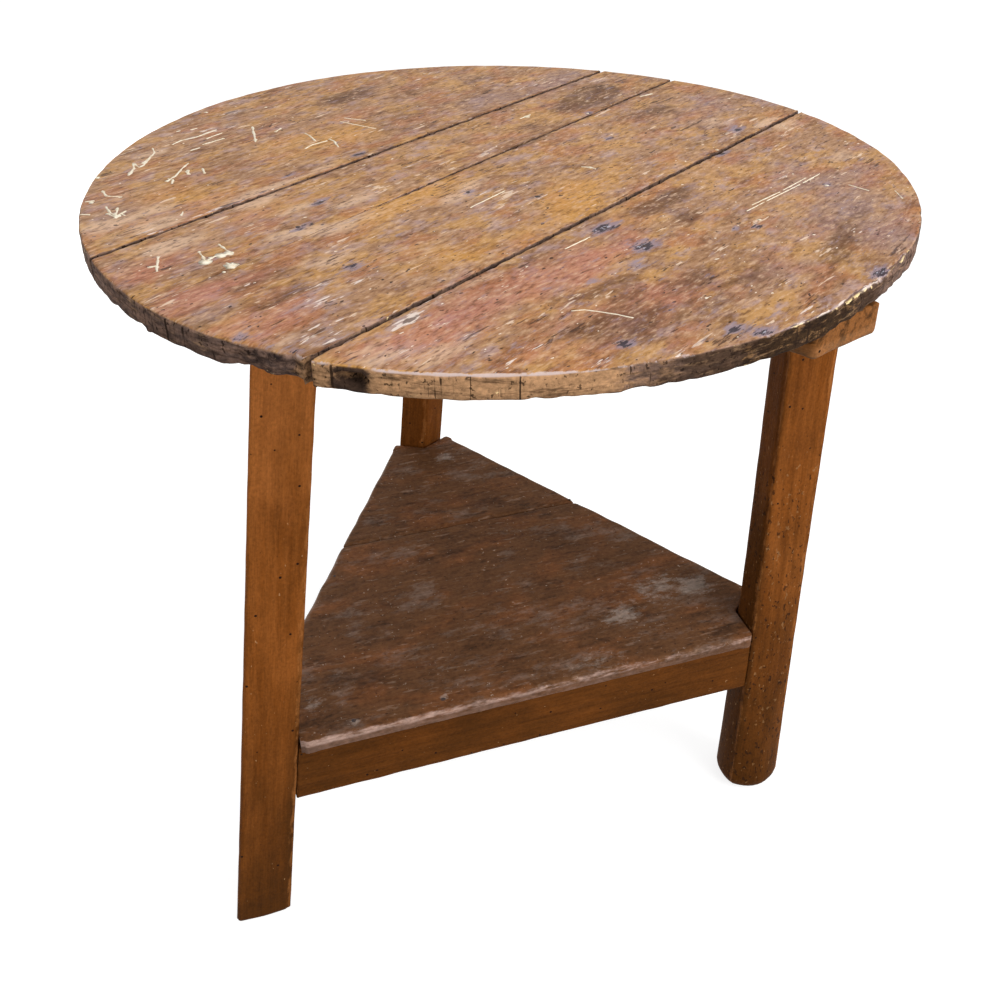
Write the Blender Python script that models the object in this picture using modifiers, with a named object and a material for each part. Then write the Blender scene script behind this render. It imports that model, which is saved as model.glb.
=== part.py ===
"""Cricket table: a round top of four boards on three splayed legs, with a triangular shelf on stretchers."""

import math

import bmesh
import bpy
from mathutils import Matrix, Vector

# Overall sizes, in metres. The top's centre stands over the origin and the feet stand at height 0.
TABLE_HEIGHT = 0.719
CLEARANCE = 0.0003

# Top: four boards cut to a round by hand, so that it bulges slightly at three places
TOP_RADIUS = 0.3772
TOP_BULGE = 0.0035
TOP_BULGES = 3
TOP_BULGE_ANGLE = math.radians(-44)
TOP_SHIFT = -0.0035
TOP_THICKNESS = 0.022
TOP_ARC_STEP = math.radians(3)
TOP_EDGE_ROUND = 0.0025
BOARD_ANGLE = math.radians(33)

# Joints between the boards: distance from the top's middle, slope to the boards, and the gap that has opened
JOINT_1 = 0.1272
JOINT_2 = 0.0334
JOINT_3 = -0.1276
JOINT_1_SLOPE = -0.006
JOINT_2_SLOPE = 0.019
JOINT_3_SLOPE = -0.007
JOINT_1_GAP = 0.0025
JOINT_2_GAP = 0.0012
JOINT_3_GAP = 0.0030

# Frame: the legs stand in an equal triangle about an axis that leans sideways
HEAD_RADIUS = 0.2495
FOOT_RADIUS = 0.3025
HEAD_SHIFT_X = 0.0210
HEAD_SHIFT_Y = 0.0066
FOOT_SHIFT_X = -0.0340
FOOT_SHIFT_Y = -0.0012

# Legs: two inner faces square to the rails, two outer faces flush with them, a blunt outer corner
LEG_INNER_FACE = 0.0345
LEG_BLUNT = 0.006
LEG_EDGE_ROUND = 0.0015
FOOT_WEAR = 0.005
FOOT_WEAR_STEPS = 3
FOOT_WEAR_PROFILE = 0.5

# Frieze rails and stretchers, tenoned into the legs
RAIL_THICKNESS = 0.022
FRIEZE_HEIGHT = 0.075
STRETCHER_HEIGHT = 0.063
RAIL_EDGE_ROUND = 0.001
TENON_THICKNESS = 0.009
TENON_SHOULDER = 0.011
MORTISE_WALL = 0.0055

# Batten under the top, square to the boards and let into the frieze rails
BATTEN_WIDTH = 0.074
BATTEN_THICKNESS = 0.028
BATTEN_MIDDLE = -0.029
BATTEN_RIM_SETBACK = 0.0113
BATTEN_END_SKEW = 0.018
BATTEN_EDGE_ROUND = 0.004

# Shelf
SHELF_HEIGHT = 0.2367
SHELF_THICKNESS = 0.017
SHELF_OVERHANGS = {"front": 0.0067, "right": 0.0060, "left": 0.0030}
SHELF_JOINT = 0.106
SHELF_JOINT_GAP = 0.0012
SHELF_NOTCH_GAP = 0.003
SHELF_EDGE_ROUND = 0.004

# Nails
NAIL_SIDES = 12
NAIL_HEAD_RADIUS = 0.0040
NAIL_HEAD_THICKNESS = 0.0016
NAIL_SHANK_RADIUS = 0.0017
NAIL_POINT_LENGTH = 0.006
NAIL_HOLD = 0.020
NAIL_SINK = 0.0004
NAIL_SETBACK = 0.007

# Nails into the batten: distance across the boards, and distance from the batten's middle
BATTEN_NAILS = (
    (JOINT_1 + 0.0133, -0.017),
    (JOINT_3 + 0.1191, -0.028),
    (JOINT_3 + 0.0631, 0.0015),
    (JOINT_3 - 0.0224, -0.017),
    (JOINT_3 - 0.0689, -0.028),
)
# Nails into the frieze rail and the stretchers: side, and distance along it from its middle
FRIEZE_NAILS = (("left", 0.119), ("left", 0.178))
STRETCHER_NAILS = (("front", -0.191), ("front", -0.099), ("left", 0.036))

# The three sides of the frame and the three legs, turned about the frame's axis
SIDES = {"front": 0.0, "right": math.radians(120), "left": math.radians(240)}
LEGS = {"leg_right": math.radians(-30), "leg_back": math.radians(90), "leg_left": math.radians(210)}
HALF_CORNER = math.radians(60)
QUARTER_TURN = math.radians(90)

# Bevels and small tolerances
EDGE_SEGMENTS = 2
BEVEL_ANGLE = math.radians(40)
WELD = 0.00001
FLAT_ANGLE = math.radians(0.5)
BISECTIONS = 40

# Colour, roughness and metallic value of each finish
FINISHES = {
    "worn_top": ((0.30, 0.14, 0.05), 0.55, 0.0),
    "stained_frame": ((0.25, 0.10, 0.03), 0.50, 0.0),
    "dark_shelf": ((0.11, 0.05, 0.02), 0.55, 0.0),
    "iron": ((0.05, 0.05, 0.055), 0.60, 0.8),
}

TOP_UNDERSIDE = TABLE_HEIGHT - TOP_THICKNESS
FRIEZE_TOP = TOP_UNDERSIDE - CLEARANCE
STRETCHER_TOP = SHELF_HEIGHT - SHELF_THICKNESS - CLEARANCE
SPLAY = (HEAD_RADIUS - FOOT_RADIUS) / TABLE_HEIGHT
LEAN_X = (HEAD_SHIFT_X - FOOT_SHIFT_X) / TABLE_HEIGHT
LEAN_Y = (HEAD_SHIFT_Y - FOOT_SHIFT_Y) / TABLE_HEIGHT


# Scene


def clear_scene():
    for old in list(bpy.data.objects):
        bpy.data.objects.remove(old)


def new_collection(name, parent):
    collection = bpy.data.collections.new(name)
    parent.children.link(collection)
    return collection


def make_material(name):
    colour, roughness, metallic = FINISHES[name]
    material = bpy.data.materials.new(name)
    material.use_nodes = True
    shader = material.node_tree.nodes["Principled BSDF"]
    shader.inputs["Base Color"].default_value = (*colour, 1.0)
    shader.inputs["Roughness"].default_value = roughness
    shader.inputs["Metallic"].default_value = metallic
    return material


clear_scene()
PARTS = new_collection("cricket_table", bpy.context.scene.collection)
CUTTERS = new_collection("cricket_table_cutters", bpy.context.scene.collection)
MORTISES = new_collection("mortises", CUTTERS)
TENONS = new_collection("tenons", CUTTERS)
TOP_HOLES = new_collection("top_nail_holes", CUTTERS)
SHELF_HOLES = new_collection("shelf_nail_holes", CUTTERS)
HOUSINGS = new_collection("batten_housings", CUTTERS)
MATERIALS = {name: make_material(name) for name in FINISHES}
ROOT = bpy.data.objects.new("cricket_table_root", None)
PARTS.objects.link(ROOT)


def add_part(name, mesh, finish):
    part = bpy.data.objects.new(name, mesh)
    part.parent = ROOT
    mesh.materials.append(MATERIALS[finish])
    PARTS.objects.link(part)
    return part


def add_cutter(name, mesh, collection):
    cutter = bpy.data.objects.new(name, mesh)
    cutter.hide_render = True
    cutter.display_type = "WIRE"
    collection.objects.link(cutter)
    return cutter


# Modelling helpers


def flat_mesh(name, outline, thickness):
    """A closed flat solid from an outline in X and Y, its middle at height 0."""
    curve = bpy.data.curves.new(name, "CURVE")
    curve.dimensions = "2D"
    curve.fill_mode = "BOTH"
    curve.extrude = thickness / 2
    spline = curve.splines.new("POLY")
    spline.points.add(len(outline) - 1)
    spline.use_cyclic_u = True
    for point, (x, y) in zip(spline.points, outline):
        point.co = (x, y, 0, 1)
    drawn = bpy.data.objects.new(name, curve)
    bpy.context.scene.collection.objects.link(drawn)
    bpy.context.view_layer.update()
    mesh = bpy.data.meshes.new_from_object(drawn.evaluated_get(bpy.context.evaluated_depsgraph_get()))
    bpy.data.objects.remove(drawn)
    shape = bmesh.new()
    shape.from_mesh(mesh)
    bmesh.ops.remove_doubles(shape, verts=shape.verts, dist=WELD)
    bmesh.ops.dissolve_limit(shape, angle_limit=FLAT_ANGLE, verts=shape.verts, edges=shape.edges)
    bmesh.ops.recalc_face_normals(shape, faces=shape.faces)
    shape.to_mesh(mesh)
    shape.free()
    mesh.materials.clear()
    return mesh


def block_mesh(name, place):
    """A cube whose corners go where place puts them: side -1 or 1, depth 0 or 1, height 0 or 1."""
    mesh = bpy.data.meshes.new(name)
    shape = bmesh.new()
    bmesh.ops.create_cube(shape, size=2)
    for corner in shape.verts:
        side, depth, height = corner.co
        corner.co = place(side, (depth + 1) / 2, (height + 1) / 2)
    shape.to_mesh(mesh)
    shape.free()
    return mesh


def turned_part(part, sides):
    """Turns a profile in X and Z about the Z axis."""
    screw = part.modifiers.new("turn", "SCREW")
    screw.steps = sides
    screw.render_steps = sides
    screw.use_merge_vertices = True
    screw.merge_threshold = WELD
    screw.use_smooth_shade = False


def round_edges(part, width):
    bevel = part.modifiers.new("edges", "BEVEL")
    bevel.width = width
    bevel.segments = EDGE_SEGMENTS
    bevel.limit_method = "ANGLE"
    bevel.angle_limit = BEVEL_ANGLE


def cut(part, collection):
    boolean = part.modifiers.new(collection.name, "BOOLEAN")
    boolean.operation = "DIFFERENCE"
    boolean.operand_type = "COLLECTION"
    boolean.collection = collection


def join(part, other):
    boolean = part.modifiers.new(other.name, "BOOLEAN")
    boolean.operation = "UNION"
    boolean.object = other


# Frame geometry


def leg_radius(height):
    """Distance of a leg's inner corner from the frame's axis."""
    return FOOT_RADIUS + SPLAY * height


def rail_reach(height):
    """Half the distance between the inner faces of two legs."""
    return leg_radius(height) * math.sin(HALF_CORNER)


def rail_face(height):
    """Distance of the rails' outer faces from the frame's axis."""
    return leg_radius(height) * math.cos(HALF_CORNER) + LEG_INNER_FACE


def tenon_length():
    """How far a tenon enters, so that the two tenons in a leg stay apart."""
    inset = LEG_INNER_FACE - (RAIL_THICKNESS + TENON_THICKNESS) / 2
    return (inset * math.sin(HALF_CORNER) - MORTISE_WALL) / math.cos(HALF_CORNER)


def lean_matrix():
    lean = Matrix.Identity(4)
    lean[0][2] = LEAN_X
    lean[1][2] = LEAN_Y
    lean[0][3] = FOOT_SHIFT_X
    lean[1][3] = FOOT_SHIFT_Y
    return lean


def splay_matrix():
    splay = Matrix.Identity(4)
    splay[0][2] = SPLAY
    splay[0][3] = FOOT_RADIUS
    return splay


def on_side(side, x, y, z):
    """A point given along, inward of and above one side's own frame, in the table's frame."""
    return lean_matrix() @ Matrix.Rotation(SIDES[side], 4, "Z") @ Vector((x, y, z))


# Legs


def leg_outline():
    """Section with its inner corner at the origin and X pointing out from the frame's axis."""
    outer = math.tan(HALF_CORNER) * LEG_INNER_FACE - LEG_BLUNT
    side = Vector((math.cos(HALF_CORNER), math.sin(HALF_CORNER))) * LEG_INNER_FACE
    blunt = side + Vector((math.sin(HALF_CORNER), -math.cos(HALF_CORNER))) * outer
    return [(0, 0), (side.x, -side.y), (blunt.x, -blunt.y), (blunt.x, blunt.y), (side.x, side.y)]


def wear_foot(mesh):
    """Rounds the edges that meet the floor."""
    shape = bmesh.new()
    shape.from_mesh(mesh)
    low = min(vertex.co.z for vertex in shape.verts) + WELD
    ground = [edge for edge in shape.edges if all(vertex.co.z < low for vertex in edge.verts)]
    bmesh.ops.bevel(
        shape,
        geom=ground,
        offset=FOOT_WEAR,
        segments=FOOT_WEAR_STEPS,
        profile=FOOT_WEAR_PROFILE,
        affect="EDGES",
    )
    shape.to_mesh(mesh)
    shape.free()


def make_leg(name, turn):
    length = TOP_UNDERSIDE - CLEARANCE
    mesh = flat_mesh(name, leg_outline(), length)
    mesh.transform(Matrix.Translation((0, 0, length / 2)))
    wear_foot(mesh)
    mesh.transform(lean_matrix() @ Matrix.Rotation(turn, 4, "Z") @ splay_matrix())
    leg = add_part(name, mesh, "stained_frame")
    round_edges(leg, LEG_EDGE_ROUND)
    cut(leg, MORTISES)


# Rails and stretchers


def rail_mesh(name, side, bottom, top, extra_reach, front, back):
    """A block along one side: its ends follow the legs, its faces lie front and back of the outer plane."""

    def place(along, depth, height):
        z = bottom + (top - bottom) * height
        x = along * (rail_reach(z) + extra_reach)
        y = front + (back - front) * depth - rail_face(z)
        return on_side(side, x, y, z)

    return block_mesh(name, place)


def make_rail(name, side, top, height):
    bottom = top - height
    body = rail_mesh(name, side, bottom, top, -CLEARANCE, 0, RAIL_THICKNESS)
    rail = add_part(name, body, "stained_frame")
    round_edges(rail, RAIL_EDGE_ROUND)
    front = (RAIL_THICKNESS - TENON_THICKNESS) / 2
    back = front + TENON_THICKNESS
    low = bottom + TENON_SHOULDER
    high = top - TENON_SHOULDER
    tenon = rail_mesh(name + "_tenon", side, low, high, tenon_length(), front, back)
    join(rail, add_cutter(name + "_tenon", tenon, TENONS))
    mortise = rail_mesh(
        name + "_mortise",
        side,
        low - CLEARANCE,
        high + CLEARANCE,
        tenon_length() + CLEARANCE,
        front - CLEARANCE,
        back + CLEARANCE,
    )
    add_cutter(name + "_mortise", mortise, MORTISES)
    return rail


# Top


def rim_point(turn):
    radius = TOP_RADIUS + TOP_BULGE * math.cos(TOP_BULGES * (turn - TOP_BULGE_ANGLE))
    return TOP_SHIFT + radius * math.cos(turn), radius * math.sin(turn)


def rim_turn(across, slope, below, above):
    """The turn at which the rim crosses a joint line, between a turn below it and one above it."""
    for _ in range(BISECTIONS):
        middle = (below + above) / 2
        x, y = rim_point(middle)
        if y < across + slope * x:
            below = middle
        else:
            above = middle
    return middle


def rim_arc(start, end):
    count = math.ceil(abs(end - start) / TOP_ARC_STEP)
    return [rim_point(start + (end - start) * step / count) for step in range(count + 1)]


def board_outline(lower, upper):
    """The stretch of the round between two joint lines, or between one and the end of the round."""
    arcs = []
    for below, above in ((-QUARTER_TURN, QUARTER_TURN), (3 * QUARTER_TURN, QUARTER_TURN)):
        start = rim_turn(*lower, below, above) if lower else below
        end = rim_turn(*upper, below, above) if upper else above
        arcs.append(rim_arc(start, end))
    corners = arcs[0] + arcs[1][::-1]
    following = corners[1:] + corners[:1]
    return [here for here, after in zip(corners, following) if math.dist(here, after) > WELD]


def make_top():
    joints = (
        (JOINT_1, JOINT_1_SLOPE, JOINT_1_GAP),
        (JOINT_2, JOINT_2_SLOPE, JOINT_2_GAP),
        (JOINT_3, JOINT_3_SLOPE, JOINT_3_GAP),
    )
    over = [None] + [(across - gap / 2, slope) for across, slope, gap in joints]
    under = [(across + gap / 2, slope) for across, slope, gap in joints] + [None]
    for number, (upper, lower) in enumerate(zip(over, under), start=1):
        name = f"top_board_{number}"
        board = add_part(name, flat_mesh(name, board_outline(lower, upper), TOP_THICKNESS), "worn_top")
        board.location.z = TABLE_HEIGHT - TOP_THICKNESS / 2
        board.rotation_euler.z = BOARD_ANGLE
        round_edges(board, TOP_EDGE_ROUND)
        cut(board, TOP_HOLES)


# Batten


def batten_outline(margin):
    """Plan of the batten in the boards' frame: each end is cut askew, short of the rim."""
    left = BATTEN_MIDDLE - BATTEN_WIDTH / 2 - margin
    right = BATTEN_MIDDLE + BATTEN_WIDTH / 2 + margin
    end = TOP_RADIUS - BATTEN_RIM_SETBACK + margin
    lean = BATTEN_END_SKEW / 2
    return [(left, lean - end), (right, -lean - end), (right, end - lean), (left, end + lean)]


def batten_mesh(name, margin):
    mesh = flat_mesh(name, batten_outline(margin), BATTEN_THICKNESS + 2 * margin)
    mesh.transform(Matrix.Translation((0, 0, FRIEZE_TOP - BATTEN_THICKNESS / 2)))
    return mesh


def make_batten():
    batten = add_part("top_batten", batten_mesh("top_batten", 0), "stained_frame")
    batten.rotation_euler.z = BOARD_ANGLE
    round_edges(batten, BATTEN_EDGE_ROUND)
    cut(batten, TOP_HOLES)
    housing = add_cutter("batten_housing", batten_mesh("batten_housing", CLEARANCE), HOUSINGS)
    housing.rotation_euler.z = BOARD_ANGLE


# Shelf


def shelf_outline():
    """A triangle whose corners are cut back round the legs' inner faces."""
    corner = leg_radius(SHELF_HEIGHT) - SHELF_NOTCH_GAP / math.sin(HALF_CORNER)
    reach = corner * math.sin(HALF_CORNER)
    inset = corner * math.cos(HALF_CORNER)
    points = []
    for side, turn in SIDES.items():
        edge = rail_face(STRETCHER_TOP) + SHELF_OVERHANGS[side]
        rotation = Matrix.Rotation(turn, 2)
        for x, y in ((-reach, -edge), (reach, -edge), (reach, -inset)):
            points.append(tuple(rotation @ Vector((x, y))))
    return points


def part_of_outline(outline, limit, keep_far):
    """The stretch of an outline on one side of the line where Y is limit."""
    kept = []
    for (x0, y0), (x1, y1) in zip(outline, outline[1:] + outline[:1]):
        if (y0 > limit) == keep_far:
            kept.append((x0, y0))
        if (y0 > limit) != (y1 > limit):
            share = (limit - y0) / (y1 - y0)
            kept.append((x0 + (x1 - x0) * share, limit))
    return kept


def make_shelf():
    halves = (
        ("shelf_board_front", SHELF_JOINT - SHELF_JOINT_GAP / 2, False),
        ("shelf_board_back", SHELF_JOINT + SHELF_JOINT_GAP / 2, True),
    )
    middle = SHELF_HEIGHT - SHELF_THICKNESS / 2
    for name, limit, keep_far in halves:
        outline = part_of_outline(shelf_outline(), limit, keep_far)
        board = add_part(name, flat_mesh(name, outline, SHELF_THICKNESS), "dark_shelf")
        board.location = lean_matrix() @ Vector((0, 0, middle))
        round_edges(board, SHELF_EDGE_ROUND)
        cut(board, SHELF_HOLES)


# Nails


def nail_profile(name, length, margin):
    """Half outline of a nail from its head down, widened by margin for its hole."""
    head = NAIL_HEAD_RADIUS + margin
    shank = NAIL_SHANK_RADIUS + margin
    under = -NAIL_HEAD_THICKNESS - margin
    tip = -length - margin
    point = tip + NAIL_POINT_LENGTH
    rise = NAIL_SINK + margin if margin else 0
    points = [(0, rise), (head, rise), (head, under), (shank, under), (shank, point), (0, tip)]
    mesh = bpy.data.meshes.new(name)
    mesh.from_pydata([(x, 0, z) for x, z in points], [(i, i + 1) for i in range(len(points) - 1)], [])
    return mesh


def make_nail(name, place, board_thickness, holes):
    length = board_thickness + NAIL_HOLD
    nail = add_part(name, nail_profile(name, length, 0), "iron")
    hole = add_cutter(name + "_hole", nail_profile(name + "_hole", length, CLEARANCE), holes)
    for turned in (nail, hole):
        turned.location = place
        turned_part(turned, NAIL_SIDES)


def make_nails():
    top = TABLE_HEIGHT - NAIL_SINK
    boards = Matrix.Rotation(BOARD_ANGLE, 4, "Z")
    places = [boards @ Vector((BATTEN_MIDDLE + off, across, top)) for across, off in BATTEN_NAILS]
    for side, along in FRIEZE_NAILS:
        place = on_side(side, along, NAIL_SETBACK - rail_face(FRIEZE_TOP), FRIEZE_TOP)
        places.append(Vector((place.x, place.y, top)))
    for number, place in enumerate(places, start=1):
        make_nail(f"top_nail_{number}", place, TOP_THICKNESS, TOP_HOLES)
    for number, (side, along) in enumerate(STRETCHER_NAILS, start=1):
        place = on_side(side, along, NAIL_SETBACK - rail_face(STRETCHER_TOP), STRETCHER_TOP)
        place.z = SHELF_HEIGHT - NAIL_SINK
        make_nail(f"shelf_nail_{number}", place, SHELF_THICKNESS, SHELF_HOLES)


def make_frame():
    for side in SIDES:
        frieze = make_rail(f"frieze_rail_{side}", side, FRIEZE_TOP, FRIEZE_HEIGHT)
        cut(frieze, HOUSINGS)
        cut(frieze, TOP_HOLES)
        stretcher = make_rail(f"stretcher_{side}", side, STRETCHER_TOP, STRETCHER_HEIGHT)
        cut(stretcher, SHELF_HOLES)
    for name, turn in LEGS.items():
        make_leg(name, turn)


make_frame()
make_batten()
make_top()
make_shelf()
make_nails()
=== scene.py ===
"""Looks of the cricket table: worn boards, a stained frame, a dusty shelf, old paint and rusty nails."""

import collections
import functools
import math

import bmesh
import bpy
import numpy
from mathutils import Color, Matrix, Vector, geometry, noise


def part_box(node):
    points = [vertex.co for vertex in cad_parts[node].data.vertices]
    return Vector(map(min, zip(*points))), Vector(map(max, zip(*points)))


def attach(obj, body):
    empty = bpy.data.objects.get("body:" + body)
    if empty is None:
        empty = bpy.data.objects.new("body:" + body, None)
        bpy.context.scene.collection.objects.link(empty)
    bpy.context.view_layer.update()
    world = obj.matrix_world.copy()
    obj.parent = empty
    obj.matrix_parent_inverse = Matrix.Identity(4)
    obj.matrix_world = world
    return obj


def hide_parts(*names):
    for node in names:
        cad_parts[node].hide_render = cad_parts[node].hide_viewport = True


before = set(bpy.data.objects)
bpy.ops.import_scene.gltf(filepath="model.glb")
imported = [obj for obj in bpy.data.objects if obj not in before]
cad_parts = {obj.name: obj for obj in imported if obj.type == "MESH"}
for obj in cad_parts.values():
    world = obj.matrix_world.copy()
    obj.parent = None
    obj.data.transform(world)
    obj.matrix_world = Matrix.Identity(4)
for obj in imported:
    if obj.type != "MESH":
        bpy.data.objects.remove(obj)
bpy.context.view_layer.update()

# Camera of the photograph. Pixels count from its upper left corner, angles are in radians, places in metres.
PHOTO_WIDTH = 1000
PHOTO_HEIGHT = 1003
FOCAL_PIXELS = 1158.0
PRINCIPAL_X = 504.1
PRINCIPAL_Y = 420.1
CAMERA_PLACE = (-0.3221, -0.9888, 1.0947)
CAMERA_HEADING = math.radians(18.245)
CAMERA_PITCH = math.radians(31.972)
CAMERA_ROLL = math.radians(0.1)
SENSOR_WIDTH = 36.0

# Mesh steps, in metres
EDGE_STEP = 0.003
FACE_STEP = 0.006
RAIL_STEP = 0.006
POST_STEP = 0.004
SPOT_STEP = 0.0016
ARC_STEPS = 4
SIDE_STEPS = 5
WELD = 0.00001
STRAIGHT = math.radians(0.8)
QUARTER_TURN = math.pi / 2
FULL_TURN = math.tau
MILLIMETRE = 0.001

# Delaunay triangles are kept inside the outline only
INSIDE_ONLY = 1

# Nodes of the frame
TOP_BOARDS = ("top_board_1", "top_board_2", "top_board_3", "top_board_4")
SHELF_BOARDS = ("shelf_board_front", "shelf_board_back")
LEGS = ("leg_left", "leg_right", "leg_back")
FRIEZE_RAILS = ("frieze_rail_front", "frieze_rail_right", "frieze_rail_left")
STRETCHERS = ("stretcher_front", "stretcher_right", "stretcher_left")
BATTEN = "top_batten"
NAILS = tuple(name for name in sorted(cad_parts) if "_nail_" in name)
UP = Vector((0, 0, 1))
UPRIGHT = Matrix.Identity(4)
ALONG_X = Vector((1, 0, 0))
TOP_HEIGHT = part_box(TOP_BOARDS[0])[1].z
TOP_THICKNESS = TOP_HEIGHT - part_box(TOP_BOARDS[0])[0].z
SHELF_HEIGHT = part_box(SHELF_BOARDS[0])[1].z
SHELF_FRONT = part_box(SHELF_BOARDS[0])[0].y
SHELF_JOINT = (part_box(SHELF_BOARDS[0])[1].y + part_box(SHELF_BOARDS[1])[0].y) / 2

# Wear of the top: outer rim, joints between boards, the whole surface and the dents in it
RIM_START = 0.355
RIM_ROUND = 0.0032
RIM_ROUND_SPREAD = 0.0026
RIM_LOSS = 0.0010
RIM_RAGGED = 0.006
DAMAGE_ROUND = 0.5
DAMAGE_INSET = 2.0
RAGGED_POWER = 3
NICK_POWER = 2
JOINT_ROUND = 0.0016
JOINT_LOSS = 0.0036
SURFACE_WEAR = 0.0006
SURFACE_SPREAD = 0.0005
DENT_DEPTH = 0.0008
DENT_HALO = 1.18
DENT_MARGIN = 1.3

# Joints between the boards
LONG_EDGE = 0.2
JOINT_REACH = 0.02
JOINT_EDGE = 0.0022
JOINT_SIDE = 0.0028
JOINT_DIRT_REACH = 0.007
JOINT_DIRT = 0.6
JOINT_CHAR = 0.35

# The second joint is closed to a hairline on its left half
HAIRLINE_JOINT = 1
HAIRLINE_END_PIXEL = (395, 180)
HAIRLINE_FADE = 0.06
HAIRLINE_ROUND = 0.0004

# Below the surface the boards come close together, except at the rim
JOINT_LEFT = 0.00015
JOINT_DEPTH = 0.012
JOINT_FADE = 0.007
JOINT_END_RADIUS = 0.366

# The lower part of the rim is darker
LOW_DARKENING = 0.45
LOW_DARKENING_START = 0.012
LOW_DARKENING_FADE = 0.010

# Brings the product of two shares to 1 halfway round the rim's arris
ARRIS_PEAK = 4

# Wear of the other pieces
SHELF_ROUND = 0.0045
SHELF_LOW_ROUND = 0.002
RAIL_ROUND = 0.0018
BATTEN_ROUND = 0.005
POST_ROUND = 0.005
CORNER_REACH = 0.010
POST_ROUND_SHARE = 0.32
SKIN_LOSS = 0.0006
SWELL_HEIGHT = 0.45
SWELL_POWER = 2.5
FOOT_HALF_WIDTH = 0.024
FOOT_STEPS = 6
LEG_DARK_HEIGHT = 0.40
# The legs' heads brighten, partly painted light against the shade under the top
LEG_HEAD_LIGHT_START = 0.42
LEG_HEAD_LIGHT_FADE = 0.24
STRETCHER_DARK = 0.85
BATTEN_BARE = 0.9
BATTEN_LEAST = 0.4
# The batten's upper part, under the top's rim, is darkened with painted shade
BATTEN_UNSHADED = 0.008
BATTEN_SHADE = 1.5
BATTEN_START = 0.32
BATTEN_FADE = 0.03

# Legs: rounding, swelling, shift aside and roundness in plan of the foot, then how dark the leg is all over
# (painted shade), low down and on its inner side (painted shade), how wormy it is, and how red at its head
# (partly painted light)
Leg = collections.namedtuple("Leg", "foot_round swell shift turn tint low inner worms red")
LEG_WEAR = {
    "leg_left": Leg(0.005, 0.04, (0.0, 0.0), 0.1, 0.0, 1.0, 0.5, 0.35, 1.1),
    "leg_right": Leg(0.020, 0.27, (-0.005, -0.004), 0.85, 0.34, 0.70, 0.45, 0.74, 0.0),
    "leg_back": Leg(0.006, 0.04, (0.0, 0.0), 0.1, 0.15, 1.0, 0.0, 0.3, 0.6),
}

# Dirt and painted shade on the legs, and the shelf's worn front edge with its painted highlight, and close
# fits
FOOT_DIRT = 0.6
FOOT_DIRT_HEIGHT = 0.035
INNER_SHADE_START = 0.004
INNER_SHADE_FADE = 0.008
SHELF_NOSING_DEPTH = 0.02
SHELF_EDGE_SHARE = 0.2
NOSING_ENDS = (-0.26, 0.20)
NOSING_SHARES = (1.15, 0.75)
SHELF_LIP = 0.005
SHELF_LIP_FADE = 0.006
SHELF_CLOSING = 0.0022
SHELF_JOINT_EDGE = 0.0008
CLOSING_REACH = 0.042
CLOSING_FRONT = 0.003
LEG_REACH = 0.050
TIGHT_ROUND = 0.0004

# Levels at which the outlines of the pieces are read
SECTION_LOW = 0.05
SECTION_HIGH = 0.45
RAIL_SECTION_DEPTH = 0.003

# Noise that shapes the pieces, in turns a metre. Each use of it has its own place in the noise.
NOISE_SCALE = 45.0
BROAD_NOISE_SCALE = 9.0
CLOSE_NOISE_SCALE = 90.0
FINE_NOISE_SCALE = 135.0
NAIL_NOISE_SCALE = 180.0
PAINT_NOISE_SCALE = 160.0
DROP_NOISE_SCALE = 320.0
NOISE_USES = (
    "rim_round", "joint_loss", "rim_nicks", "rim_break", "surface", "edge", "skin", "leg_skin", "joint_round",
    "nail", "paint_wobble", "paint_width", "drop_edge", "rim_low",
)
SALTS = {use: number for number, use in enumerate(NOISE_USES, start=1)}

# Each piece's grain lies at its own depth of the texture space, so that no two pieces share it
GRAIN_DEPTH_STEP = 0.37
GRAIN_ORDER = (*TOP_BOARDS, *SHELF_BOARDS, *STRETCHERS, BATTEN, *LEGS)

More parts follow.
